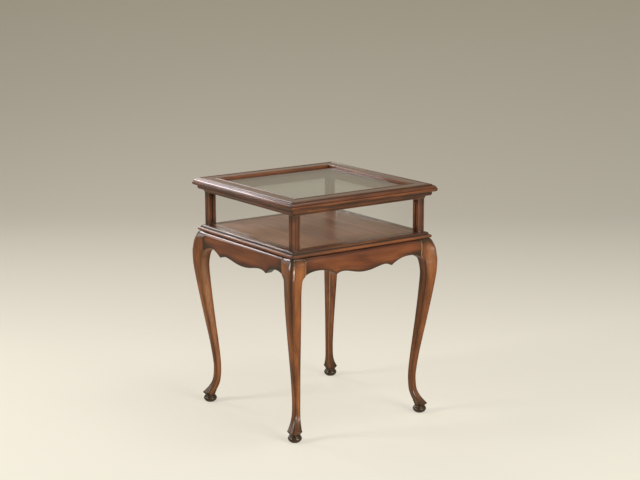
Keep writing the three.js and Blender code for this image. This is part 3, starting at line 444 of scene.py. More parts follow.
def clear_glass(name, least, power):
    """Clear glass that reflects least + (1 - least) f^power, f being 1 - cos of the slant."""
    glass = Finish(name)
    slant = glass.add("LayerWeight", {"Blend": 0.5})["Facing"]
    share = glass.spread(glass.maths("POWER", slant, power), 0, 1, least, 1)
    smear = glass.noise(glass.add("TexCoord")["Object"], (9, 9, 9), 3, 0.6)
    body = glass.add("BsdfTransparent", {"Color": GLASS_TINT})[0]
    polish = glass.add("BsdfGlossy", {"Color": (1, 1, 1, 1),
                                      "Roughness": glass.spread(smear, 0.45, 0.8, 0, 0.05)})[0]
    glass.material.surface_render_method = "BLENDED"
    return glass.ended(glass.add("MixShader", {0: share, 1: body, 2: polish})[0])


pane_glass = clear_glass("pane_glass", 0.03, 5.0)
lid_pane_glass = clear_glass("lid_pane_glass", 0.07, 3.3)

# %% [markdown]
# The case's floor is a board faced with veneer: leaves of the same log laid side by side, so that
# the figure repeats with small changes and the joints show as faint lines. The leaves run from the
# front to the back. It is lighter and pinker than the frame, because it isn't glazed. Object
# coordinates are enough here.

# %% Veneered floor
LEAF_WIDTH = 0.0955


def veneer(name):
    """Veneer in leaves along Y, each with its own tone and figure, and a faint line between."""
    board = Finish(name)
    place = board.add("TexCoord")["Object"]
    leaf = board.maths("DIVIDE", board.add("SeparateXYZ", {0: place})[0], LEAF_WIDTH)
    number = board.maths("FLOOR", leaf)
    shift = board.add("CombineXYZ", {0: board.times(number, 0.37), 1: board.times(number, 0.71)})[0]
    plank = board.add("VectorMath", {0: place, 1: shift}, operation="ADD")[0]
    figure = board.noise(plank, (42, 4.5, 42), 4, 0.9)
    streak = board.noise(plank, (520, 16, 520), 2)
    cloud = board.noise(plank, (9, 5, 9), 2)
    pore = board.noise(plank, (2600, 130, 2600), 1)
    own = board.maths("FRACT", board.times(board.maths("SINE", number), 43.7))
    tone = board.plus(board.blended((figure, 0.42), (cloud, 0.28), (streak, 0.2)),
                      board.times(own, 0.14))
    colour = board.ramp(tone, (0.1, srgb(128, 88, 68)), (0.5, srgb(166, 120, 90)),
                        (0.9, srgb(190, 145, 112)))
    pores = board.spread(pore, 0.6, 0.74)
    colour = board.mixed(board.times(pores, 0.3), colour, srgb(92, 64, 52))
    from_middle = board.maths("ABSOLUTE", board.minus(board.minus(leaf, number), 0.5))
    joint = board.spread(from_middle, 0.494, 0.498)
    colour = board.mixed(board.times(joint, 0.55), colour, srgb(84, 58, 48))
    return board.surface(colour, board.spread(cloud, 0, 1, 0.3, 0.46),
                         board.minus(board.times(streak, 0.3), board.plus(pores, joint)),
                         0.25, 0.0001, IOR=1.5, Coat_Weight=0.3, Coat_Roughness=0.2)


floor_veneer = veneer("floor_veneer")
print("the floor has leaves of", LEAF_WIDTH, "m")

# %% [markdown]
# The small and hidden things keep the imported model's shapes and get real surfaces: the corner
# blocks are bare sawn softwood, the hinges rubbed and slightly tarnished brass, the case screws
# zinc-grey steel, and the lid's two bumpers pressed felt.

# %% Sawn wood, metal and felt
def sawn_wood(name):
    """Bare softwood: pale early wood, darker late wood, a rough sawn face and no lacquer."""
    wood = Finish(name)
    place = wood.add("TexCoord")["Object"]
    ring = wood.noise(place, (60, 60, 5), 3, 0.8)
    fibre = wood.noise(place, (900, 900, 30), 2)
    colour = wood.ramp(ring, (0.3, srgb(206, 170, 122)), (0.52, srgb(190, 148, 98)),
                       (0.7, srgb(164, 116, 70)))
    colour = wood.mixed(wood.times(wood.spread(fibre, 0.4, 0.8), 0.35), colour, srgb(128, 92, 58))
    return wood.surface(colour, wood.spread(fibre, -1.9, 0.9), fibre, 0.5, 0.0003, IOR=1.45)


def brushed_metal(name, clean, tarnished, low, high):
    """Metal with tarnish in clouds, fine brush marks along X and a roughness that follows both."""
    metal = Finish(name)
    place = metal.add("TexCoord")["Object"]
    cloud = metal.noise(place, (160, 160, 160), 4, 0.5)
    mark = metal.noise(place, (120, 4200, 4200), 2)
    colour = metal.mixed(metal.spread(cloud, 0.42, 0.68), clean, tarnished)
    rough = metal.spread(metal.plus(cloud, metal.times(mark, 0.4)), 0.3, 1.0, low, high)
    return metal.surface(colour, rough, mark, 0.2, 0.00004, Metallic=1.0)


def pressed_felt(name):
    """Felt: short fibres in every direction over a darker ground, with a soft sheen at its edge."""
    cloth = Finish(name)
    fibre = cloth.noise(cloth.add("TexCoord")["Object"], (1500, 1500, 1500), 4, 1.5)
    colour = cloth.ramp(fibre, (0.3, srgb(30, 25, 22)), (0.7, srgb(62, 53, 46)))
    return cloth.surface(colour, 0.95, fibre, 0.6, 0.0003, Sheen_Weight=0.4)


steel = brushed_metal("steel", srgb(158, 159, 162), srgb(108, 107, 106), 0.32, 0.55)
brass = brushed_metal("brass", srgb(196, 158, 84), srgb(122, 92, 50), 0.26, 0.5)
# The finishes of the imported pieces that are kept, by the start of their names
KEPT = {"case_floor": floor_veneer, "lid_glass": lid_pane_glass, "side_glass": pane_glass,
        "corner_block": sawn_wood("hidden_wood"), "case_screw": steel, "hinge": brass,
        "lid_bumper": pressed_felt("felt")}
finished = 0
for node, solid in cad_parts.items():
    for start, finish in KEPT.items():
        if node.startswith(start):
            for row in solid.material_slots:
                row.link, row.material = "OBJECT", finish
            finished += 1
print("packed pieces kept with new finishes:", finished)

# %% [markdown]
# ## Rails and mouldings
#
# A rail is its section pushed along the side of the table and cut at 45 degrees at both ends, where
# it meets its neighbours in a mitre. So a point of the section at reach u runs from x = -u to x =
# u. Each frame is drawn at the front and turned to the other sides by quarter turns, which keeps
# the four mitres closed.

# %% Push a section along one side
MITRE_GAP = FIT_GAP / 2
MITRE_GLAZE = 0.22
STATIONS = np.array((-1, -0.994, -0.975, -0.5, 0, 0.5, 0.975, 0.994, 1))
EASE = 0.45
HOLLOW_SPREAD = 1.6


def plank_shift(quarters, kind):
    """Where in the log a piece was cut: so far from the others that no figure comes twice."""
    return np.array((1731.0 * kind + 613.0 * quarters, 97.0 * kind + 41.0 * quarters, 53.0 * kind))


def rail_grid(lines, stations):
    """Points (x, -u, z) of sections (stations, points, 2), x being a share of u less the gap."""
    u, z = lines[..., 0], lines[..., 1]
    return np.stack((stations[:, None] * (u - MITRE_GAP), -u, z), axis=-1)


def rail_glaze_and_shade(section, spots, stations):
    """Glazing and painted shade in the hollows and at the spots, amount * near(distance, 0, size) at
    each, and some glazing by the mitre.
    """
    glaze_and_painted_light = hollow_depth(section, HOLLOW_SPREAD)
    for reach, height, size, amount in spots:
        glaze_and_painted_light += amount * near(np.linalg.norm(section - (reach, height), axis=1), 0, size)
    return glaze_and_painted_light[None] + MITRE_GLAZE * (np.abs(stations) > 0.99)[:, None]


def stand_for(piece, node, body):
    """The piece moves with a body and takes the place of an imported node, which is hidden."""
    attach(piece, body)
    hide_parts(node)

# %% [markdown]
# The lid's rail is the widest moulding: from the glass outwards a small bead, a quirk, a flat
# field, a second quirk and bead, then a step down to the big rounded nosing that everyone's hand
# meets first. Underneath is the rabbet for the glass, which a small quarter-round strip holds up.

# %% The lid's frame
SIGHT = 187.0
LID_GLASS_TOP, LID_GLASS_BOTTOM = 634.0, 630.0
RABBET_REACH = SIGHT + 8
NOSE_START = LID_REACH - 10.4
OUTER_BEAD = NOSE_START - 8.6
QUIRK_FLOOR, FIELD_HEIGHT = TABLE_TOP - 1.8, TABLE_TOP - 0.9
SHOULDER, NOSE_TIP = TABLE_TOP - 2.8, TABLE_TOP - 13.4
NOSE_QUIRK = TABLE_TOP - 11.2
SEAT_EDGE, SEAT_FLOOR = 206.7, 620.0
POCKET_START, POCKET_END, POCKET_FLOOR = 226.1, 231.9, 621.65
HAIR = 0.02


def lid_section(seat=False):
    """The lid rail's section. A seat is cut into its underside for a hinge leaf and its barrel."""
    floor, pocket = (SEAT_FLOOR, POCKET_FLOOR) if seat else (LID_UNDERSIDE, LID_UNDERSIDE)
    return section_line(
        (SIGHT, LID_GLASS_TOP), (SIGHT, TABLE_TOP - 2.8),
        ((SIGHT, TABLE_TOP), (SIGHT + 2.5, TABLE_TOP)),
        ((SIGHT + 5, TABLE_TOP), (SIGHT + 5, QUIRK_FLOOR)),
        (SIGHT + 6.6, QUIRK_FLOOR), (SIGHT + 6.6 + HAIR, FIELD_HEIGHT),
        (OUTER_BEAD - 1.6 - HAIR, FIELD_HEIGHT), (OUTER_BEAD - 1.6, QUIRK_FLOOR),
        (OUTER_BEAD, QUIRK_FLOOR),
        ((OUTER_BEAD, TABLE_TOP), (OUTER_BEAD + 4.3, TABLE_TOP)),
        ((NOSE_START - 0.3, TABLE_TOP), (NOSE_START, QUIRK_FLOOR)),
        (NOSE_START + HAIR, SHOULDER),
        ((NOSE_START + 6.6, SHOULDER - 1.2), (LID_REACH - 1.2, NOSE_QUIRK + 0.7)),
        (LID_REACH - 2.6, NOSE_QUIRK), (LID_REACH, NOSE_QUIRK - 0.7), (LID_REACH, NOSE_TIP),
        ((LID_REACH, LID_UNDERSIDE), (POCKET_END, LID_UNDERSIDE)),
        (POCKET_END - HAIR, pocket), (POCKET_START + HAIR, pocket), (POCKET_START, floor),
        (SEAT_EDGE + HAIR, floor), (SEAT_EDGE, LID_UNDERSIDE),
        (RABBET_REACH, LID_UNDERSIDE), (RABBET_REACH, LID_GLASS_TOP))


def bead_section():
    """A quarter-round strip in the rabbet, under the glass."""
    bottom = LID_GLASS_BOTTOM - 9
    return section_line(
        (RABBET_REACH, LID_GLASS_BOTTOM), (SIGHT, LID_GLASS_BOTTOM), (SIGHT, LID_GLASS_BOTTOM - 3),
        ((SIGHT, bottom), (RABBET_REACH - 3, bottom)), (RABBET_REACH, bottom))


# Where more or less glazing stays, with painted shade in the quirks and, in the last, under the
# nosing: reach, height, size and amount
LID_GLAZE_AND_SHADE = ((SIGHT + 5.6, QUIRK_FLOOR, 1.1, 0.5), (OUTER_BEAD - 1, QUIRK_FLOOR, 1.1, 0.45),
             (NOSE_START + 0.2, SHOULDER + 0.3, 1.3, 0.6), (LID_REACH - 2.2, NOSE_QUIRK, 1.3, 0.7),
             (LID_REACH - 3, LID_UNDERSIDE, 3.2, 0.5))
print("lid section points:", len(lid_section()), "and", len(bead_section()), "for the strip")

# %% [markdown]
# The two back rails also carry the hinges. Each leaf lies in a shallow seat and the barrel in a
# deeper pocket at the rail's back edge. Cutting them with a boolean would lose the smooth shading
# and the glaze, so the rail gets more stations instead: inside a seat it uses the section that is
# cut back, and a pair of stations a hair apart makes the seat's end wall.

# %% A rail with hinge seats
HINGE_PLACES = (-150.1, 150.1)
POCKET_HALF = 21.3
SEAT_WALLS = np.array([place + way * half for place in HINGE_PLACES for way in (-1, 1)
                       for half in (POCKET_HALF + HAIR, POCKET_HALF)]) / LID_REACH


def rail(name, line, quarters, kind, finish, spots=(), seat_line=None):
    """One mitred rail with eased corners, and with hinge seats if a second line is given for them.

    Both lines are eased at the same corners, so that their points match.
    """
    lines = [line] if seat_line is None else [line, seat_line]
    corners = np.any([sharp_corners(each) for each in lines], axis=0)
    sections = np.array([eased(each, EASE, corners) for each in lines])
    stations, seated = STATIONS, np.zeros(len(STATIONS), dtype=int)
    if seat_line is not None:
        stations = np.append(stations, SEAT_WALLS)
        seated = np.append(seated, np.arange(len(SEAT_WALLS)) % 2)
    order = np.argsort(stations)
    stations, seated = stations[order], seated[order]
    grid = rail_grid(sections[seated], stations)
    upright = np.isin(stations, SEAT_WALLS)
    grid[upright, :, 0] = (stations[upright] * LID_REACH)[:, None]
    return grid_piece(name, grid, grid + plank_shift(quarters, kind),
                      rail_glaze_and_shade(sections[0], spots, stations), finish, quarters)


for quarters, side in enumerate(SIDES):
    seat_line = lid_section(seat=True) if side == "back" else None
    lid_rail = rail(f"moulded_lid_rail_{side}", lid_section(), quarters, 1, lid_wood, LID_GLAZE_AND_SHADE,
                    seat_line)
    stand_for(lid_rail, f"lid_rail_{side}", "lid")
    strip = rail(f"quarter_round_{side}", bead_section(), quarters, 2, lid_wood)
    stand_for(strip, f"glazing_bead_{side}", "lid")
print("rails and strips in the lid:", 2 * len(SIDES))

# %% [markdown]
# ## The case
#
# The base moulding carries everything above it. Its outer face has an ovolo, a small step, a full
# torus and an undercut that throws a dark line over the aprons. Behind, it has a groove for the
# side panes and a shelf for the floor. The top rail is an S-shaped moulding under the lid, with the
# same groove turned over.

# %% The base moulding and the top rail
GROOVE = 1.8
OVOLO_START, OVOLO_END = POST_REACH + 2.5, POST_REACH + 8.7
OVOLO_FOOT = CASE_FLOOR - 5.6
TORUS_TOP, TORUS_FOOT = OVOLO_FOOT - 1.4, LEG_TOP + 1.2
TORUS_MIDDLE = (TORUS_TOP + TORUS_FOOT) / 2
UNDERCUT = BASE_REACH - 5.5


def grooved(level, floor):
    """Four corners of the groove for the side panes, from its outer edge inwards."""
    near_edge, far_edge = GLASS_LINE - GROOVE, GLASS_LINE + GROOVE
    return (far_edge, level), (far_edge, floor), (near_edge, floor), (near_edge, level)


def base_section():
    """The base moulding's section, from the shelf's inner edge outwards and up."""
    shelf, inner = CASE_FLOOR - 9, POST_INNER - 22
    return section_line(
        (inner, LEG_TOP), (UNDERCUT, LEG_TOP), (UNDERCUT, TORUS_FOOT), (UNDERCUT + 1.5, TORUS_FOOT),
        ((BASE_REACH, TORUS_FOOT), (BASE_REACH, TORUS_MIDDLE)),
        ((BASE_REACH, TORUS_TOP), (OVOLO_END + 1.2, TORUS_TOP)),
        (OVOLO_END, TORUS_TOP), (OVOLO_END, OVOLO_FOOT),
        ((OVOLO_END, CASE_FLOOR), (OVOLO_START, CASE_FLOOR)),
        *grooved(CASE_FLOOR, CASE_FLOOR - 5),
        (POST_INNER, CASE_FLOOR), (POST_INNER, shelf), (inner, shelf))


def top_section(seat=False):
    """The top rail's section. A seat is cut into its top for a hinge leaf and its barrel."""
    floor, pocket = (CASE_TOP - 0.5, CASE_TOP - 2.15) if seat else (CASE_TOP, CASE_TOP)
    fillet, foot = CASE_TOP - 3, POST_REACH + 0.8
    middle = ((foot + TOP_RAIL_REACH) / 2, (WINDOW_TOP + fillet) / 2)
    return section_line(
        (POST_INNER, CASE_TOP), (POST_INNER, WINDOW_TOP),
        *grooved(WINDOW_TOP, WINDOW_TOP + 6)[::-1], (foot, WINDOW_TOP), ((foot, middle[1]), middle),
        ((TOP_RAIL_REACH, middle[1]), (TOP_RAIL_REACH, fillet)), (TOP_RAIL_REACH, pocket),
        (POCKET_START + HAIR, pocket), (POCKET_START, floor),
        (SEAT_EDGE + HAIR, floor), (SEAT_EDGE, CASE_TOP))


# Glazing and painted shade in the base's hollows, the torus wiped lighter, and painted shade in the
# undercut under the torus
BASE_GLAZE_AND_SHADE = ((OVOLO_START, CASE_FLOOR, 2.4, 0.3), (OVOLO_END - 1, OVOLO_FOOT + 2, 3, 0.22),
              (OVOLO_END + 0.4, TORUS_TOP + 0.4, 1.5, 0.7), (BASE_REACH, TORUS_MIDDLE, 3.5, -0.12),
              (BASE_REACH - 4, TORUS_FOOT, 2, 0.3))
# On the top rail, painted shade under the lid's nosing, then glazing and painted shade over the posts
TOP_GLAZE_AND_SHADE = ((TOP_RAIL_REACH, CASE_TOP - 1, 2.4, 0.5), (POST_REACH + 2, WINDOW_TOP + 3, 2.6, 0.3))

for quarters, side in enumerate(SIDES):
    moulding = rail(f"moulded_base_{side}", base_section(), quarters, 3, case_wood, BASE_GLAZE_AND_SHADE)
    stand_for(moulding, f"base_moulding_{side}", "case")
    seat_line = top_section(seat=True) if side == "back" else None
    top_rail = rail(f"moulded_top_rail_{side}", top_section(), quarters, 4, case_wood, TOP_GLAZE_AND_SHADE,
                    seat_line)
    stand_for(top_rail, f"top_rail_{side}", "case")
print("moulded rails on the case:", 2 * len(SIDES))

# %% [markdown]
# Each post has the same face twice: a narrow fillet at the corner, a dark quirk, a softly crowned
# band, a quirk and a fillet again, all run with one scratch cutter. In plan this is a closed line
# like a rail's section, only pushed upwards, so the same grid serves with the line laid flat.

# %% The reeded posts
POST_HALF, POST_EASE, POST_CORNER = 11.0, 0.4, 9.8
POST_ROWS = np.linspace(CASE_FLOOR, WINDOW_TOP, 5)
BAND_EDGE, FILLET_EDGE = 4.0, 5.6
QUARTER_TURN = ((0, 1), (-1, 0))
# Painted shade: the back left post is painted darker, and the back right a little; all posts keep
# more glazing at their ends
POST_PAINTED_SHADE, POST_END_GLAZE = (0.04, 0.14, 0, 0), 0.3


def post_plan():
    """The post's plan about its own middle: two grooved inner faces and two reeded outer faces.

    A reeded face has a fillet, a quirk, a crowned band, a quirk and a fillet. The second one is
    the first one turned by a quarter, (x, y) to (-y, x).
    """
    half, corner, slot = POST_HALF, POST_CORNER, POST_HALF - 4
    face = ((half, -corner), (half, -FILLET_EDGE), (half - 1.1, -FILLET_EDGE + 0.6),
            (half - 0.75, -BAND_EDGE - 0.1), ((half + 0.35, -1.9), (half - 0.1, 0)),
            ((half + 0.35, 1.9), (half - 0.75, BAND_EDGE + 0.1)),
            (half - 1.1, FILLET_EDGE - 0.6), (half, FILLET_EDGE), (half, corner))
    return section_line(
        (-half, -half), (-GROOVE, -half), (-GROOVE, -slot), (GROOVE, -slot), (GROOVE, -half),
        (corner, -half), *face, *[np.array(run) @ QUARTER_TURN for run in face],
        (-half, corner), (-half, GROOVE), (-slot, GROOVE), (-slot, -GROOVE), (-half, -GROOVE))


def upright_grid(line, heights):
    """Points (x, y, z) of a plan line repeated at each height."""
    plan = np.repeat(line[None], len(heights), axis=0)
    up = np.broadcast_to(heights[:, None, None], (*plan.shape[:2], 1))
    return np.concatenate((plan, up), axis=2)


post_line = eased(post_plan(), POST_EASE, sharp_corners(post_plan()))
post_grid = upright_grid(post_line, POST_ROWS) + (GLASS_LINE, GLASS_LINE, 0)
end_glaze = POST_END_GLAZE * np.isin(POST_ROWS, (CASE_FLOOR, WINDOW_TOP))
post_glaze_and_shade = hollow_depth(post_line, HOLLOW_SPREAD)[None] + end_glaze[:, None]
for quarters, corner in enumerate(CORNERS):
    post = grid_piece(f"reeded_post_{corner}", post_grid,
                      post_grid[..., [2, 0, 1]] + plank_shift(quarters, 5),
                      post_glaze_and_shade + POST_PAINTED_SHADE[quarters], case_wood, quarters)
    stand_for(post, f"post_{corner}", "case")
print("post plan points:", len(post_line))

# %% [markdown]
# ## The aprons
#
# An apron is a board with a bowed face and a rounded top, sawn along its lower edge to a scalloped
# line: a shallow belly in the middle, then a nick and a point on each side, and an arch that runs
# into the leg. The line is a chain of cubic curves given by their control points as shares of the
# half length and of the arch's rise. The aprons at the sides have the same line with a wider
# middle.
#
# A board like this could be cut from a slab with a boolean, but then the sawn edge stays sharp.
# Here the edge is eased as with sandpaper: at each station the section ends in a small curve above
# the line.

# %% The scalloped line
APRON_INNER = 212.0
APRON_LOWEST = LEG_TOP - 60
ARCH_RISE = 23.0
BLOCK_INNER = KNEE_REACH - 54
FRONT_SCALLOP = ((0, 0), (0.15, 0), (0.22, 0.36), (0.35, 0.46), (0.42, 0.45), (0.45, 0.36),
                 (0.48, 0.165), (0.56, 0.66), (0.66, 1), (0.79, 1), (0.88, 1), (0.95, 0.86),
                 (1, 0.62))
SIDE_SCALLOP = ((0, 0), (0.19, 0), (0.27, 0.36), (0.432, 0.46), (0.51, 0.45), (0.55, 0.36),
                (0.585, 0.165), (0.66, 0.62), (0.73, 0.97), (0.83, 0.97), (0.91, 0.97),
                (0.96, 0.86), (1, 0.62))
SCALLOP_STEPS = 14


def scalloped_line(chain):
    """Stations x and heights z along the whole lower edge, from a chain of cubic curves.

    Each has four points a, b, c, d of the chain: (1-t)^3 a + 3(1-t)^2 t b + 3(1-t) t^2 c + t^3 d.
    """
    chain = np.array(chain)
    t = np.linspace(0, 1, SCALLOP_STEPS + 1)[1:, None]
    weights = np.concatenate(((1 - t) ** 3, 3 * (1 - t) ** 2 * t, 3 * (1 - t) * t ** 2, t ** 3),
                             axis=1)
    half = np.concatenate([weights @ chain[first:first + 4]
                           for first in range(0, len(chain) - 1, 3)])
    half = half * (BLOCK_INNER, ARCH_RISE)
    whole = np.concatenate((half[::-1] * (-1, 1), [(0, 0)], half))
    return whole[:, 0], APRON_LOWEST + whole[:, 1]


print("points along an apron's edge:", len(scalloped_line(FRONT_SCALLOP)[0]))

# %% The bowed board
FACE_TURN = LEG_TOP - 13
LOW_FACE = section_line((APRON_REACH - 2.4, APRON_LOWEST - 1),
                        ((APRON_REACH, (APRON_LOWEST + LEG_TOP) / 2), (APRON_REACH, FACE_TURN)))
HIGH_FACE = section_line((APRON_REACH, FACE_TURN),
                         ((APRON_REACH, LEG_TOP), (APRON_REACH - 10, LEG_TOP)))
BACK_MIDDLE = (FACE_TURN + APRON_LOWEST) / 2 + 8
SAWN_EASE, SAWN_STEPS, BOARD_STEPS = 1.7, 6, 11


def face_reach(height):
    """How far the aprons' bowed face reaches at a height."""
    face = np.concatenate((LOW_FACE, HIGH_FACE[1:]))
    return np.interp(height, face[:, 1], face[:, 0])


def apron_grid(chain):
    """Sections at each station: up the inner face, over the top, down the face, round the edge."""
    x, low = scalloped_line(chain)
    back_z = np.stack((low, np.full_like(low, BACK_MIDDLE), np.full_like(low, LEG_TOP)), axis=1)
    back = np.stack((np.full_like(back_z, APRON_INNER), back_z), axis=-1)
    top = np.repeat(HIGH_FACE[None, ::-1], len(x), axis=0)
    down = np.linspace(0, 1, BOARD_STEPS + 1)[::-1]
    face_z = low[:, None] + SAWN_EASE + (FACE_TURN - low - SAWN_EASE)[:, None] * down
    face = np.stack((face_reach(face_z), face_z), axis=-1)
    corner = np.stack((face_reach(low), low), axis=-1)[:, None]
    t = np.linspace(0, 1, SAWN_STEPS + 1)[None, 1:, None]
    edge = bent(face[:, -1:], corner, corner - (SAWN_EASE, 0), t)
    section = np.concatenate((back, top, face[:, 1:], edge), axis=1)
    x_all = np.repeat(x[:, None], section.shape[1], axis=1)
    return np.stack((x_all, -section[..., 0], section[..., 1]), axis=-1), low


def apron_edge_and_painted_shade(grid, low):
    """Darker along the sawn edge, most near the legs, with painted shade along the seams by the legs
    and a painted shadow under the moulding.
    """
    from_leg = BLOCK_INNER - np.abs(grid[..., 0])
    edge = 0.4 * near(grid[..., 2], low[:, None], 10) * (1 + 0.6 * near(from_leg, 0, 30))
    # Darker along the sawn edge; painted shade by the legs' seams and under the moulding
    return edge + 0.26 * near(from_leg, 0, 14) + 0.26 * near(grid[..., 2], LEG_TOP - 1, 3) - 0.07


for quarters, side in enumerate(SIDES):
    grid, low = apron_grid(SIDE_SCALLOP if quarters % 2 else FRONT_SCALLOP)
    apron = grid_piece(f"scalloped_apron_{side}", grid, grid + plank_shift(quarters, 6),
                       apron_edge_and_painted_shade(grid, low), apron_wood, quarters)
    stand_for(apron, f"apron_{side}", "case")
print("apron grid:", grid.shape[0], "stations of", grid.shape[1], "points")

# %% [markdown]
# ## The cabriole legs
#
# A cabriole leg is sawn from one thick block: out at the knee, in at the ankle and out again at the
# toe, with a small turned pad below. Its section stays roughly square, with one sharp ridge down
# the outside. The carver gives the faces a slight crown, hollows them at the toe, and lets the
# knee's outer faces fall away until they meet the aprons.
#
# It could be box-modelled with subdivision. Here it is a table of a few measured stations, each
# with its height, reach, width, crown, tilt and fall, joined by smooth curves through them, and a
# section worked out at every height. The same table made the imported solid, so the two agree.

# %% The leg's measures
KNEE_WIDTH, LEG_SWEEP = 54.0, 40.6
ANKLE_REACH = KNEE_REACH - LEG_SWEEP
FACE_CROWN, TOE_TILT = 0.8, 3.4
OUTER_ROUND, EDGE_ROUND, SEAM_ROUND, TOE_ROUND = 0.24, 0.08, 0.03, 0.08
SEAM_LIP, FACE_BEND = 1.5, 0.4
# Height and reach past the ankle down the block that stands beside the aprons
KNEE_BLOCK = np.array(((1, 0.605), (0.99, 0.715), (0.9745, 0.805), (0.96, 0.875), (0.9415, 0.937),
                       (0.908, 0.99)))
# Height, reach past the ankle, width, crown, tilt, and the share of the knee's fall that is left
LEG_CURVE = np.array((
    (0.888, 1, 0.8, 0.5, 0, 0.8), (0.853, 0.99, 0.712, 1, 0, 0.5),
    (0.803, 0.95, 0.648, 1, 0, 0.26), (0.7315, 0.845, 0.6, 1, 0, 0.1),
    (0.6505, 0.71, 0.546, 1, 0, 0.03), (0.5485, 0.53, 0.48, 1, 0, 0),
    (0.4475, 0.343, 0.415, 1, 0, 0), (0.3455, 0.16, 0.357, 1, 0, 0),
    (0.2475, 0.028, 0.322, 0.8, 0, 0), (0.193, 0, 0.315, 0.6, 0, 0),
    (0.134, 0.06, 0.333, 0, 0.1, 0), (0.0965, 0.241, 0.407, -0.8, 0.4, 0),
    (0.0668, 0.499, 0.525, -1.6, 0.85, 0), (0.0587, 0.586, 0.58, -1.8, 1, 0)))
PAD_RADIUS, PAD_HEIGHT, PAD_PLACE = 18.5, 18.5, 0.46
PAD_RINGS = np.array(((0.68, 1), (0.72, 0.95), (0.85, 0.9), (0.885, 0.83), (0.86, 0.77),
                      (0.93, 0.73), (1, 0.6), (0.99, 0.46), (0.87, 0.22), (0.62, 0)))
ROW_STEPS, PAD_STEPS = 6, 4


def below(value, place, width):
    """A soft step, 1 / (1 + exp((value - place) / width)), from 1 below the place to 0 above it.

    With a width below zero it goes the other way.
    """
    return 1 / (1 + np.exp((value - place) / width))


def smooth_rows(rows, steps):
    """A cubic through the rows, whose slope at each is half the difference of its neighbours."""
    before = np.concatenate((rows[:1], rows[:-2]))[:, None]
    start, end = rows[:-1, None], rows[1:, None]
    after = np.concatenate((rows[2:], rows[-1:]))[:, None]
    t = (np.arange(steps) / steps)[None, :, None]
    rise, first, last = end - start, (end - before) / 2, (after - start) / 2
    square, cube = 3 * rise - 2 * first - last, first + last - 2 * rise
    between = start + t * (first + t * (square + t * cube))
    return np.concatenate((between.reshape(-1, rows.shape[1]), rows[-1:]))


def leg_rows():
    """Height, outer and inner reach, crown, tilt, fall and edge round down the leg."""
    height, reach = KNEE_BLOCK.T
    outer = ANKLE_REACH + reach * LEG_SWEEP
    fall = np.maximum(outer - face_reach(height * LEG_TOP) - SEAM_LIP, 0)
    flat = np.zeros_like(height)
    block = np.stack((height * LEG_TOP, outer, flat + BLOCK_INNER, flat, flat, fall,
                      flat + SEAM_ROUND), axis=1)
    height, reach, width, crown, tilt, left = LEG_CURVE.T
    outer = ANKLE_REACH + reach * LEG_SWEEP
    curve = np.stack((height * LEG_TOP, outer, outer - width * KNEE_WIDTH, crown * FACE_CROWN,
                      tilt * TOE_TILT, left * fall[-1],
                      EDGE_ROUND + left * (SEAM_ROUND - EDGE_ROUND)), axis=1)
    rows = smooth_rows(np.concatenate((block, curve)), ROW_STEPS)
    rows[:, 1] = np.minimum(rows[:, 1], KNEE_REACH)
    rows[:, 6] += TOE_ROUND * below(rows[:, 0], 110, 15)
    return rows


print("rows down the leg:", len(leg_rows()))

# %% The leg's section
ARRIS_STEPS, FACE_STEPS, BACK_STEPS = 14, 11, 4
FACE_SHARES = (1 - np.cos(np.linspace(0, math.pi, FACE_STEPS + 1)[1:-1])) / 2
RIDGE, OUTER_FACE, SIDE_EDGE, INNER_FACE, INMOST_EDGE = range(5)
# Under the toe: how much lower and how much narrower each of three more rows is
TOE_DROPS, TOE_INSETS = np.array(((0.8, 1.6, 2.2), (0.0, 0.25, 0.9)))


def arris(x, y, radius, quarter, steps):
    """Quarter circles (rows, steps + 1, 2) about (x, y), from the given quarter turn on."""
    angle = (quarter + np.linspace(0, 1, steps + 1)) * math.pi / 2
    return np.stack((x[:, None] + radius[:, None] * np.cos(angle),
                     y[:, None] + radius[:, None] * np.sin(angle)), axis=-1)


def face_between(start, end, middle):
    """Points inside a bent curve from start to end that passes through middle halfway."""
    control = 2 * middle - (start + end) / 2
    return bent(start[:, None], control[:, None], end[:, None], FACE_SHARES[None, :, None])


def leg_sections(rows):
    """Sections (rows, points, 3) from the outer ridge on, and each point's share along its part.

    The parts, which come third, are RIDGE, OUTER_FACE, SIDE_EDGE beside the aprons, INNER_FACE and
    INMOST_EDGE.
    """
    height, outer, inner, crown, tilt, fall, edge_share = rows.T
    width, middle = outer - inner, (outer + inner) / 2
    ridge, edge = width * OUTER_ROUND, width * edge_share
    low, bend = outer - fall, outer + crown - fall * FACE_BEND
    arcs = (arris(outer - ridge, outer - ridge, ridge, 0, ARRIS_STEPS),
            arris(inner + edge, low - edge, edge, 1, BACK_STEPS),
            arris(inner + edge, inner + edge, edge, 2, BACK_STEPS),
            arris(low - edge, inner + edge, edge, 3, BACK_STEPS))
    middles = ((middle, bend), (inner - crown, middle), (middle, inner - crown), (bend, middle))
    zones = ((RIDGE, OUTER_FACE), (SIDE_EDGE, INNER_FACE), (INMOST_EDGE, INNER_FACE),
             (SIDE_EDGE, OUTER_FACE))
    plan, along, zone = [], [], []
    for arc, after, halfway, pair in zip(arcs, arcs[1:] + arcs[:1], middles, zones):
        plan += [arc, face_between(arc[:, -1], after[:, 0], np.stack(halfway, axis=1))]
        along += [np.linspace(0, 1, arc.shape[1]), FACE_SHARES]
        zone += [pair[:1] * arc.shape[1], pair[1:] * len(FACE_SHARES)]
    plan = np.concatenate(plan, axis=1)
    out = (plan.sum(axis=2) - 2 * middle[:, None]) / width[:, None]
    z = height[:, None] - tilt[:, None] * out
    return np.concatenate((plan, z[..., None]), axis=2), np.concatenate(along), np.concatenate(zone)


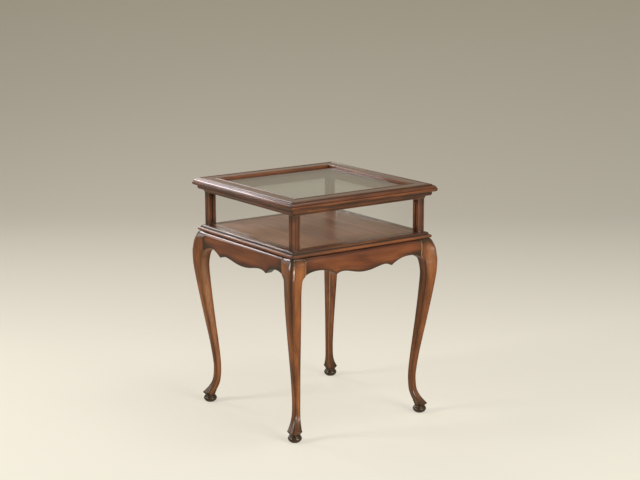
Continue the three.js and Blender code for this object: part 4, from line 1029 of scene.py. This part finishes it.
def leg_grid():
    """The leg's sections, a round edge under the toe, and the pad's rings at the same bearings."""
    rows = leg_rows()
    toe = np.repeat(rows[-1:], len(TOE_DROPS), axis=0)
    toe[:, :3] += np.stack((-TOE_DROPS, -TOE_INSETS, TOE_INSETS), axis=1)
    sections, along, zone = leg_sections(np.concatenate((rows, toe)))
    centre = rows[-1, 2] + PAD_PLACE * (rows[-1, 1] - rows[-1, 2])
    bearing = np.arctan2(sections[-1, :, 1] - centre, sections[-1, :, 0] - centre)
    radius, height = (smooth_rows(PAD_RINGS, PAD_STEPS) * (PAD_RADIUS, PAD_HEIGHT)).T[..., None]
    pad = np.stack((centre + radius * np.cos(bearing), centre + radius * np.sin(bearing),
                    np.repeat(height, len(bearing), axis=1)), axis=-1)
    return np.concatenate((sections, pad)), along, zone, len(sections)


def leg_glaze_and_painted_light(grid, along, zone, pad_start, outer_painted_shade, inner_painted_shade, seam_highlight):
    """Glazing at the edges, painted shade in a band down the ridge and under the moulding, darker
    towards the foot and all over the pad.

    The painted shade of the outer and inner faces is added, and below zero it is painted light. The
    inmost edge gets a painted highlight, and so do the edges beside the aprons, by the given amount.
    """
    height = grid[..., 2]
    across = np.abs(2 * along - 1)
    # Glazing at the faces' edges, painted shade on the faces, and a painted highlight on the inmost
    # edge
    own = np.choose(zone, (0, 0.34 * across ** 5 + outer_painted_shade, 0.2,
                           0.42 * across ** 3 - 0.03 + inner_painted_shade, -0.26))
    # Painted shade: a dark band down the ridge between its two reflections, strongest at the knee
    ridge = (0.22 + 0.24 * below(height, 330, -25)) * near(across, 0, 0.5) * (zone == RIDGE)
    # Painted shade under the moulding
    top = 0.46 * near(height, LEG_TOP, 14)
    # Darker towards the foot
    foot = 0.32 * below(height, 50, 16) + 0.07 * below(height, 230, 40)
    # Painted highlight along the edges beside the aprons
    pale_edge = seam_highlight * (zone == SIDE_EDGE) * below(height, 444, -4)
    glaze_and_painted_light = own + ridge + top + foot - pale_edge - 0.08
    # The pad is darker all over, most in its groove
    glaze_and_painted_light[pad_start:] = 0.44 + 0.2 * near(height[pad_start:], 0.78 * PAD_HEIGHT, 1.2)
    return glaze_and_painted_light


# Painted light for each leg: the painted shade of its outer and inner faces, lighter below zero,
# and the painted highlight on the edges beside the aprons
LEG_PAINTED_LIGHT = ((0.04, 0.08, 0.8), (0.08, -0.2, 0.1), (-0.04, 0, 0.8), (0.08, 0.02, 0.8))
grid, along, zone, pad_start = leg_grid()
for quarters, corner in enumerate(CORNERS):
    glaze_and_painted_light = leg_glaze_and_painted_light(grid, along, zone, pad_start, *LEG_PAINTED_LIGHT[quarters])
    leg = grid_piece(f"carved_leg_{corner}", grid, grid[..., [2, 0, 1]] + plank_shift(quarters, 7),
                     glaze_and_painted_light, leg_wood, quarters)
    stand_for(leg, f"leg_{corner}", "case")
print("leg grid:", grid.shape[0], "rows of", grid.shape[1], "points")

# %% [markdown]
# ## The studio
#
# The table stands on a pale paper sweep that curves up behind it, cream near the camera and
# darkening to a warm grey far up, painted shade where less light reaches it. Soft lamps light it. A
# wide low one at the front warms the legs and the aprons. A small one above it and one at the left
# leave two reflections on each ridge, with a dark band between them that painted shade on the ridge
# deepens. Three behind the table stand where the left mouldings and the shoulder of the left apron
# mirror them, and give those their long glancing highlights. The last, high over the right side,
# models the lid's top.

# %% The paper sweep
SWEEP_HALF, SWEEP_FRONT, SWEEP_BACK, SWEEP_RADIUS, SWEEP_TOP = 7.0, -6.0, 2.6, 1.6, 6.0
SWEEP_TURN, SWEEP_STEPS = math.radians(-35), 32


def sweep():
    """A line along Y, up a quarter circle and straight up, pushed along X and turned about Z.

    "run" is the length along the line, 0 under the table, which the paper's colour follows.
    """
    angle = np.linspace(0, math.pi / 2, SWEEP_STEPS + 1)
    curve = np.stack((SWEEP_BACK + SWEEP_RADIUS * np.sin(angle),
                      SWEEP_RADIUS * (1 - np.cos(angle))), axis=1)
    line = np.concatenate(([(SWEEP_FRONT, 0)], curve, [(SWEEP_BACK + SWEEP_RADIUS, SWEEP_TOP)]))
    steps = np.linalg.norm(np.diff(line, axis=0), axis=1)
    run = SWEEP_FRONT + np.concatenate(([0], np.cumsum(steps)))
    across = np.array((-SWEEP_HALF, SWEEP_HALF))[:, None]
    x = across * math.cos(SWEEP_TURN) - line[:, 0] * math.sin(SWEEP_TURN)
    y = across * math.sin(SWEEP_TURN) + line[:, 0] * math.cos(SWEEP_TURN)
    points = np.stack((x, y, np.broadcast_to(line[:, 1], x.shape)), axis=-1).reshape(-1, 3)
    start, count = np.arange(len(steps)), len(line)
    faces = np.stack((start, start + count, start + count + 1, start + 1), axis=-1)
    mesh = bpy.data.meshes.new("sweep")
    mesh.from_pydata(points.tolist(), [], faces.tolist())
    mesh.shade_smooth()
    layer = mesh.attributes.new("run", "FLOAT", "POINT")
    layer.data.foreach_set("value", np.tile(run, 2).astype(np.float32))
    return placed("sweep", mesh)


def paper(name):
    """Matt paper whose colour follows its run, darkening far up the sweep as painted shade. To the
    camera, and through glass, half of it glows.

    The other half is lit by the lamps, so it keeps the table's soft shadow. In gloss the wall is a
    little darker than it is and the floor much darker, as if black cloth lay round the table: the
    wood stays deep.
    """
    sheet = Finish(name)
    run = sheet.add("Attribute", attribute_name="run")["Fac"]
    colour = sheet.ramp(sheet.spread(run, -2.0, 8.0), (0.1, srgb(250, 246, 233)),
                        (0.255, srgb(248, 243, 228)), (0.48, srgb(207, 201, 186)),
                        (0.64, srgb(177, 170, 153)), (0.71, srgb(162, 154, 135)),
                        (0.82, srgb(112, 106, 92)))
    matt = sheet.add("BsdfDiffuse", {"Color": colour})[0]
    glow = sheet.add("Emission", {"Color": colour, "Strength": 1.0})[0]
    dark = sheet.add("Emission", {"Color": colour, "Strength": 0.0})[0]
    path = sheet.add("LightPath")
    seen = sheet.maths("MAXIMUM", path["Is Camera Ray"], path["Is Transmission Ray"])
    share = sheet.maths("MAXIMUM", sheet.times(seen, 0.5), path["Is Glossy Ray"])
    lit = sheet.add("MixShader", {0: share, 1: matt, 2: glow})[0]
    cloth = sheet.times(sheet.spread(run, 3.4, 1.6, 0.14, 0.75), path["Is Glossy Ray"])
    return sheet.ended(sheet.add("MixShader", {0: cloth, 1: lit, 2: dark})[0])


backdrop = sweep()
backdrop.data.materials.append(paper("paper"))
print("sweep points:", len(backdrop.data.vertices))

# %% The lamps
# Name, bearing from the front (-Y) towards +X, elevation, distance, the height that it is aimed at
# on the table's middle line, width, height, watts and colour
LAMPS = (
    ("right", 3, 32, 3.2, 0.35, 0.5, 0.6, 6, (1.0, 0.95, 0.86)),
    ("low", 8, 11, 3.6, 0.3, 1.8, 0.8, 74, (1.0, 0.94, 0.84)),
    ("left", -108, 28, 2.8, 0.35, 0.65, 0.9, 31, (1.0, 0.96, 0.88)),
    ("behind", -165, 32, 3.4, 0.5, 0.7, 0.5, 14, (1.0, 0.92, 0.94)),
    ("strip", -148, 16, 3.2, 0.45, 0.45, 1.1, 4.5, (1.0, 0.93, 0.9)),
    ("glance", 162, 29, 3.4, 0.5, 1.0, 0.7, 9, (1.0, 0.9, 0.94)),
    ("above", 50, 66, 2.7, 0.5, 1.0, 1.0, 12, (1.0, 0.965, 0.92)),
)
WORLD_COLOUR, WORLD_STRENGTH = (0.92, 0.89, 0.84, 1), 0.26

for name, bearing, elevation, distance, aim, width, height, watts, colour in LAMPS:
    bearing, elevation = math.radians(bearing), math.radians(elevation)
    way = Vector((math.sin(bearing) * math.cos(elevation), -math.cos(bearing) * math.cos(elevation),
                  math.sin(elevation)))
    data = bpy.data.lights.new(name, "AREA")
    data.shape = "RECTANGLE"
    data.size, data.size_y, data.energy, data.color = width, height, watts, colour
    lamp = placed(name, data)
    lamp.location = Vector((0, 0, aim)) + way * distance
    lamp.rotation_euler = way.to_track_quat("Z", "Y").to_euler()
print("lamps:", [lamp_data.name for lamp_data in bpy.data.lights])

world = bpy.data.worlds.new("studio")
bpy.context.scene.world = world
world.use_nodes = True
world.node_tree.nodes["Background"].inputs["Color"].default_value = WORLD_COLOUR
world.node_tree.nodes["Background"].inputs["Strength"].default_value = WORLD_STRENGTH
bpy.context.scene.view_settings.view_transform = "Standard"
